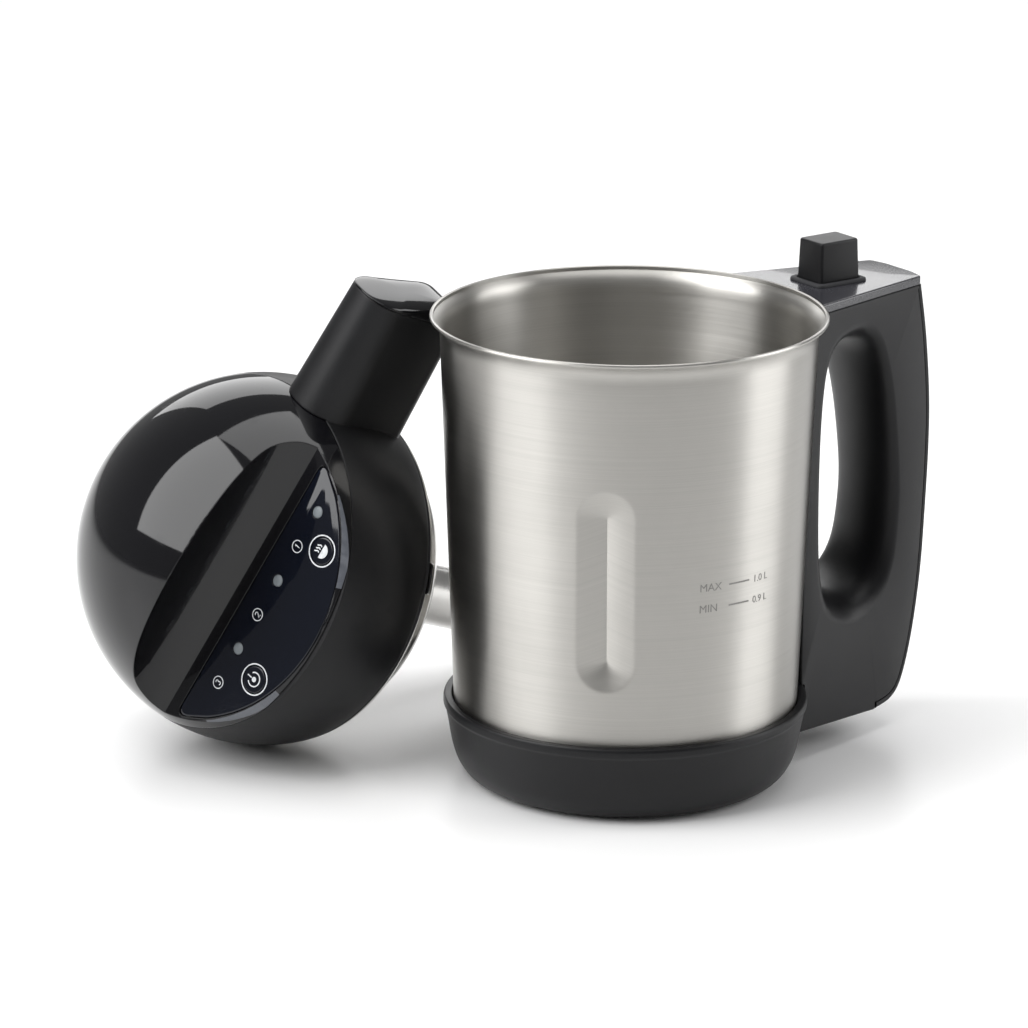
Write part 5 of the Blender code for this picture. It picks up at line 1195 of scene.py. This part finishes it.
def make_prints():
    """On the lens: a ring round each key and, over every second pip, a dark disc with a ringed figure."""
    white, dark = bmesh.new(), bmesh.new()
    lift, line, figure = 0.03 * MM, 0.36 * MM, 2.3 * MM
    for i, (x, y) in enumerate(pip_places()):
        if i % 2:
            continue
        disc = ring_points(x, y, PIP_RADIUS + 0.3 * MM)[:-1]
        dark.faces.new([dark.verts.new(above_deck(u, v, lift)) for u, v in disc])
        flat_band(white, ring_points(x, y, PIP_RADIUS), line, 2 * lift, above_deck)
        points = [(x + figure * u, y + figure * v) for u, v in figure_strokes(1 + (4 - i) // 2)]
        flat_band(white, points, line, 2 * lift, above_deck)
    for _, x, y in key_places():
        ring = ring_points(x, y, KEY_RADIUS + 0.72 * MM, steps=72)
        flat_band(white, ring, 0.5 * MM, lift, above_deck)
    place(made_object("pip_masks", dark), "panel_gloss", "head", at=HEAD)
    place(made_object("panel_print", white), "light_guide", "head", at=HEAD, finish=INK)


def make_symbol(name, seat):
    """The key's printed symbol: a bowl with steam on the mode key, a filled start sign on the other."""
    bm = bmesh.new()
    r, lift = KEY_RADIUS, 0.24 * MM
    if name == "mode_key":
        runs = []
        for side in (-0.24, 0.0, 0.24):
            wave = [
                (side * r + 0.07 * r * math.sin(5 * t), r * (0.16 + 0.42 * t)) for t in (
                    0, 0.25, 0.5, 0.75, 1.0
                )
            ]
            runs.append(wave)
        solid = ring_points(0, 0.02 * r, 0.56 * r, 180, 360, 24)
    else:
        runs = [ring_points(0, 0, 0.52 * r, 130, 410, 32), [(0, 0.26 * r), (0, 0.5 * r), (0, 0.70 * r)]]
        solid = ring_points(0, 0, 0.2 * r)[:-1]
    for run in runs:
        flat_band(bm, run, 0.5 * MM, lift, flat)
    bm.faces.new([bm.verts.new((x, y, lift)) for x, y in solid])
    place(made_object(name + "_symbol", bm), "light_guide", name, at=seat, finish=INK)


def arm_section(x, grow, steps=9):
    """Rounded section of the arm at a distance from the axis; grow is negative for the inside."""
    share = (x - 0.5 * ARM_REACH) / (0.5 * ARM_REACH)
    half = 0.5 * (ARM_ROOT_WIDTH + (ARM_TIP_WIDTH - ARM_ROOT_WIDTH) * share) + grow
    low, high = ARM_BOTTOM - grow, ARM_TOP + grow
    crown, heel = ARM_CROWN_SHARE * half, ARM_HEEL + min(grow, 0.0)
    points = []
    turns = [math.radians(90 * i / steps) for i in range(steps + 1)]
    for a in turns:
        points.append((-half + heel * (1 - math.cos(a)), low + heel * (1 - math.sin(a))))
    points += [(-y, z) for y, z in points[::-1]]
    for a in turns:
        points.append((half - crown * (1 - math.cos(a)), high - crown * (1 - math.sin(a))))
    points += [(-y, z) for y, z in points[: -steps - 2 : -1]]
    return [Vector((x, y, z)) for y, z in points]


def make_bowl():
    high = PARTING_HEIGHT - GAP / 2
    ring = BALL_RADIUS - SEAT_RING_WIDTH
    outside = ball_arc(BALL_RADIUS, SEAT_LEVEL, high, 40)
    inside = ball_arc(BALL_RADIUS - SHELL, SEAT_LEVEL + SHELL, high, 12)[::-1]
    outline = outside + [(outside[-1][0] - 0.25 * MM, high)] + inside
    bowl = turned("bowl_and_arm", outline + [(ring, SEAT_LEVEL + SHELL), (ring, SEAT_LEVEL)], 256)
    shell_end = ARM_REACH - ARM_CAP_LENGTH
    root = BALL_RADIUS - 12 * MM
    arm = lofted(
        "arm_outside", [arm_section(root + (shell_end - root) * i / 16, 0.0) for i in range(17)]
    )
    ball = ball_arc(BALL_RADIUS + GAP, high, (BALL_RADIUS + GAP) * 0.9999, 24)
    cut(arm, turned("arm_dome_room", [(0, high)] + ball[:-1] + [(0, BALL_RADIUS + GAP)], 256))
    join(bowl, arm)
    hollow = lofted(
        "arm_inside", [arm_section(x, -ARM_WALL) for x in (root - 5 * MM, shell_end + 5 * MM)]
    )
    slot = ARM_TIP_WIDTH / 2 - ARM_WALL
    near, far = (BALL_RADIUS + 3 * MM, -slot, ARM_BOTTOM - 5 * MM), (shell_end + 5 * MM, slot, 0)
    cut(bowl, hollow, box("arm_opening", near, far))
    inner = ring - 0.2 * MM
    core = [(0, SEAT_LEVEL - SHELL), (inner, SEAT_LEVEL - SHELL), (inner, SEAT_LEVEL + SHELL)]
    core += ball_arc(BALL_RADIUS - SHELL, SEAT_LEVEL + SHELL, high + 2 * MM, 20) + [(0, high + 2 * MM)]
    cut(bowl, turned("bowl_core", core, 128))
    place(bowl, "satin_black", "head", "lower_shell", at=HEAD, finish=SOFT_BLACK)


def make_arm_cap():
    """The arm's end cap: a low dome on the arm's section that leans back towards its top."""
    start = ARM_REACH - ARM_CAP_LENGTH + GAP
    ring = arm_section(ARM_REACH - ARM_CAP_LENGTH, 0.0)
    middle = 0.5 * (ARM_BOTTOM + ARM_TOP)
    sections = []
    for turn in list(range(0, 90, 6)) + [88.5]:
        share = math.sin(math.radians(turn)) ** (2 / 3)
        size = math.cos(math.radians(turn)) ** (2 / 3)
        section = []
        for point in ring:
            height = middle + (point.z - middle) * size
            rise = (height - ARM_BOTTOM) / (ARM_TOP - ARM_BOTTOM)
            reach = start + share * (ARM_REACH - start - CAP_LEAN * rise)
            section.append(Vector((reach, point.y * size, height)))
        sections.append(section)
    place(lofted("arm_tip", sections, crease=50), "gloss_black", "head", "arm_end_cap", at=HEAD)


def make_under_side():
    """Gasket, steel cup with its seat lugs, blade tube, seal, probe and guard."""
    edge = math.sqrt(BALL_RADIUS**2 - SEAT_LEVEL**2) - 0.6 * MM
    ring = BALL_RADIUS - SEAT_RING_WIDTH
    gasket = turned_soft("seat_seal", ring_outline(ring, edge, GASKET_BOTTOM, GASKET_TOP), 0.5 * MM)
    place(gasket, "rubber", "head", "seat_gasket", at=HEAD)
    neck = TUBE_RADIUS + GAP
    outside = [
        (FLANGE_RADIUS, FLANGE_TOP), (FLANGE_RADIUS, FLANGE_BOTTOM),
        (CUP_RADIUS + 1.5 * MM, FLANGE_BOTTOM),
    ]
    outside += [(CUP_RADIUS, FLANGE_BOTTOM - 2 * MM), (CUP_RADIUS - 2 * MM, CUP_BOTTOM + 4 * MM)]
    outside += [(CUP_RADIUS - 5 * MM, CUP_BOTTOM), (neck, CUP_BOTTOM)]
    inside = [(neck, CUP_BOTTOM + CUP_WALL), (CUP_RADIUS - 5.6 * MM, CUP_BOTTOM + CUP_WALL)]
    inside += [
        (CUP_RADIUS - 2 * MM - CUP_WALL, CUP_BOTTOM + 4.5 * MM), (CUP_RADIUS - CUP_WALL, FLANGE_TOP)
    ]
    cup = turned("steel_cup", soften(outside + inside, 0.9 * MM, 4))
    half, inner = 6.0 * MM, FLANGE_RADIUS - 3 * MM
    tip = math.sqrt(LUG_RADIUS**2 - half**2)
    for angle in LUG_ANGLES:
        plan = [(inner, -half), (tip, -half), (LUG_RADIUS, 0), (tip, half), (inner, half)]
        low, high = FLANGE_BOTTOM + 0.1 * MM, FLANGE_TOP - 0.1 * MM
        lug = prism("seat_lug", soften(plan, 1.6 * MM, 5), low, high)
        lug.data.transform(Matrix.Rotation(angle, 4, "Z"))
        join(cup, lug)
    hole = turned("probe_hole", disc_outline(3.3 * MM, CUP_BOTTOM - 5 * MM, CUP_BOTTOM + 5 * MM), 48)
    hole.data.transform(Matrix.Translation((0, PROBE_Y, 0)))
    cut(cup, hole)
    place(cup, "polished_steel", "head", "under_cup", at=HEAD)
    top, bore = CUP_BOTTOM + CUP_WALL + GAP, TUBE_RADIUS - 1.4 * MM
    tube = [
        (bore, top + 1.5 * MM), (bore, TUBE_BOTTOM), (TUBE_RADIUS - MM, TUBE_BOTTOM),
        (TUBE_RADIUS, TUBE_BOTTOM + MM),
    ]
    tube += [(TUBE_RADIUS, top), (TUBE_RADIUS + 4 * MM, top), (TUBE_RADIUS + 4 * MM, top + 1.5 * MM)]
    place(
        turned_soft("blade_tube", tube, 0.4 * MM, 128), "polished_steel", "head", "shaft_tube", at=HEAD
    )
    shape = [
        (BORE_RADIUS, 9.0), (BORE_RADIUS, 1.6), (BORE_RADIUS + 0.8 * MM, 1.0), (bore - 2.4 * MM, 1.0)
    ]
    shape += [(bore - 1.6 * MM, 2.0), (bore - GAP, 2.0), (bore - GAP, 9.0)]
    seal = turned_soft("blade_seal", [(r, TUBE_BOTTOM + up * MM) for r, up in shape], 0.3 * MM, 96)
    place(seal, "rubber", "head", "shaft_seal", at=HEAD)
    low, shoulder, high = CUP_BOTTOM - 36 * MM, CUP_BOTTOM + CUP_WALL + GAP, CUP_BOTTOM + 6 * MM
    probe = [
        (0, low), (1.8 * MM, low), (1.8 * MM, CUP_BOTTOM - 2 * MM), (3.0 * MM, CUP_BOTTOM - 2 * MM)
    ]
    probe += [(3.0 * MM, shoulder), (5 * MM, shoulder), (5 * MM, high), (0, high)]
    probe = turned_soft("level_rod", probe, 0.7 * MM, 48, 4)
    place(probe, "polished_steel", "head", "level_probe", at=HEAD @ Matrix.Translation((0, PROBE_Y, 0)))
    make_guard()
    make_blade()


def make_guard():
    """Cage round the blade: a collar on the tube, four legs and a bottom ring."""
    collar = ring_outline(
        TUBE_RADIUS + GAP, GUARD_RADIUS - 0.6 * MM, TUBE_BOTTOM - 1.5 * MM, TUBE_BOTTOM + 7 * MM
    )
    guard = turned_soft("blade_cage", collar, 0.6 * MM, 96)
    ring = ring_outline(GUARD_RADIUS - 1.4 * MM, GUARD_RADIUS, GUARD_BOTTOM, GUARD_BOTTOM + 4 * MM)
    parts = [turned_soft("cage_ring", ring, 0.5 * MM, 96)]
    for i in range(4):
        low = (GUARD_RADIUS - 1.3 * MM, -2.5 * MM, GUARD_BOTTOM + MM)
        leg = box("cage_leg", low, (GUARD_RADIUS - 0.2 * MM, 2.5 * MM, TUBE_BOTTOM + 3 * MM), 0.4 * MM)
        leg.data.transform(Matrix.Rotation(TAU * (i + 0.5) / 4, 4, "Z"))
        parts.append(leg)
    join(guard, *parts)
    place(guard, "polished_steel", "head", "blade_guard", at=HEAD)


def make_blade():
    """Four thin wings with ground edges, every second one turned up at its tip, on a pressed hub."""
    bm = bmesh.new()
    stations = [3.6 + 10.0 * i / 14 for i in range(15)]
    for wing in range(4):
        turn = Matrix.Rotation(TAU * wing / 4, 3, "Z")
        rings = []
        for reach in stations:
            share = (reach - 3.6) / 10.0
            lead, trail = -2.6 - 0.5 * math.sin(math.pi * share) + 1.7 * share**2, 2.5 - 1.6 * share**2
            lift = (0.5 if wing % 2 else -0.18) * max(0.0, reach - 8.6) ** 1.15
            thick = 0.55 * (1 - 0.35 * share)
            x = min(reach, 13.45) - 0.35 * max(0.0, lift)
            profile = [
                (lead, 0.0), (lead + 1.0, thick), (trail - 0.5, thick), (trail, 0.0),
                (trail - 0.5, -thick), (lead + 1.0, -thick),
            ]
            ring = [turn @ Vector((x * MM, y * MM, BLADE_LEVEL + (lift + z) * MM)) for y, z in profile]
            rings.append([bm.verts.new(p) for p in ring])
        for ring, other in zip(rings, rings[1:]):
            bridge(bm, ring, other)
        bm.faces.new(rings[0])
        bm.faces.new(rings[-1])
    hub = soften(
        ring_outline(BORE_RADIUS, 5.2 * MM, BLADE_LEVEL - 0.6 * MM, BLADE_LEVEL + 0.75 * MM), 0.25 * MM,
        3,
    )
    rings = []
    for radius, height in hub:
        rings.append(
            [
                bm.verts.new(
                    (radius * math.cos(TAU * i / 48), radius * math.sin(TAU * i / 48), height)
                ) for i in range(48)
            ]
        )
    for ring, other in zip(rings, rings[1:] + rings[:1]):
        bridge(bm, ring, other)
    place(made_object("blade_wings", bm, 24), "polished_steel", "rotor", "blade", at=HEAD)


def finish_plain_nodes():
    """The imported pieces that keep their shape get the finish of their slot."""
    for row in frame["record"]["subparts"]:
        node = frame["nodes"][row["node"]]
        if node.hide_render:
            continue
        node.data.materials.clear()
        node.data.materials.append(FINISH[row["material_slot"]])


# ---- setting ----
def floor_finish():
    made, spot, shader = new_finish("pale_floor", Specular_IOR_Level=0.35)
    cloud = noise(spot, 3.0, 4.0)
    fine = noise(spot, 260.0, 2.0)
    feed(
        shader,
        Base_Color=cloud.blend((0.90, 0.90, 0.90, 1.0), (0.93, 0.93, 0.93, 1.0)),
        Roughness=0.30 + fine * 0.12,
        Normal=relief(fine, 0.00002),
    )
    return made


def make_floor():
    size, cells = 9.0, 12
    bm = bmesh.new()
    bmesh.ops.create_grid(bm, x_segments=cells, y_segments=cells, size=size / 2)
    floor = made_object("studio_floor", bm)
    floor.data.materials.append(floor_finish())


def area_light(name, spot, aim, size, power, colour=(1.0, 1.0, 1.0)):
    lamp = bpy.data.lights.new(name, "AREA")
    lamp.shape, lamp.size, lamp.size_y = "RECTANGLE", size[0], size[1]
    lamp.energy, lamp.color = power, colour
    obj = bpy.data.objects.new(name, lamp)
    bpy.context.scene.collection.objects.link(obj)
    way = Vector(aim) - Vector(spot)
    obj.matrix_world = Matrix.Translation(spot) @ way.to_track_quat("-Z", "Y").to_matrix().to_4x4()
    return obj


CAMERA_PLACE = Vector((-1.23642, -1.64078, 0.71599))
CAMERA_AIM = Vector((-0.0343, 0.0257, 0.1018))
CAMERA_ROLL = 0.0053


def make_camera():
    lens = bpy.data.cameras.new("view")
    lens.lens, lens.sensor_width = 198.33, 36.0
    lens.clip_start, lens.clip_end = 0.1, 30.0
    obj = bpy.data.objects.new("view", lens)
    bpy.context.scene.collection.objects.link(obj)
    ahead = (CAMERA_AIM - CAMERA_PLACE).normalized()
    right = ahead.cross(Vector((0, 0, 1))).normalized()
    up = right.cross(ahead)
    c, s = math.cos(CAMERA_ROLL), math.sin(CAMERA_ROLL)
    turn = Matrix((right * c + up * s, up * c - right * s, -ahead)).transposed()
    obj.matrix_world = Matrix.Translation(CAMERA_PLACE) @ turn.to_4x4()
    bpy.context.scene.camera = obj


def make_light():
    world = bpy.data.worlds.new("studio")
    bpy.context.scene.world = world
    world.use_nodes = True
    back = world.node_tree.nodes["Background"]
    back.inputs["Color"].default_value = (1.0, 1.0, 1.0, 1.0)
    back.inputs["Strength"].default_value = 0.22
    area_light("window_box", (-1.13, 0.35, 1.13), (-0.09, 0.11, 0.07), (1.15, 1.7), 30)
    area_light("right_box", (1.31, -0.92, 0.75), (0, 0, 0.12), (1.0, 1.5), 15)
    area_light("top_box", (0.3, 0.2, 2.6), (0.2, 0.2, 0), (1.8, 1.8), 27)
    area_light("back_box", (1.5, 1.9, 1.2), (1.2, 0.8, 0), (2.6, 1.4), 24)
    bpy.context.scene.view_settings.view_transform = "Standard"


make_camera()
make_light()
make_floor()
make_vessel()
make_fill_marks()
make_base()
make_handle()
make_bowl()
make_dome()
make_panel()
make_arm_cap()
make_under_side()
finish_plain_nodes()
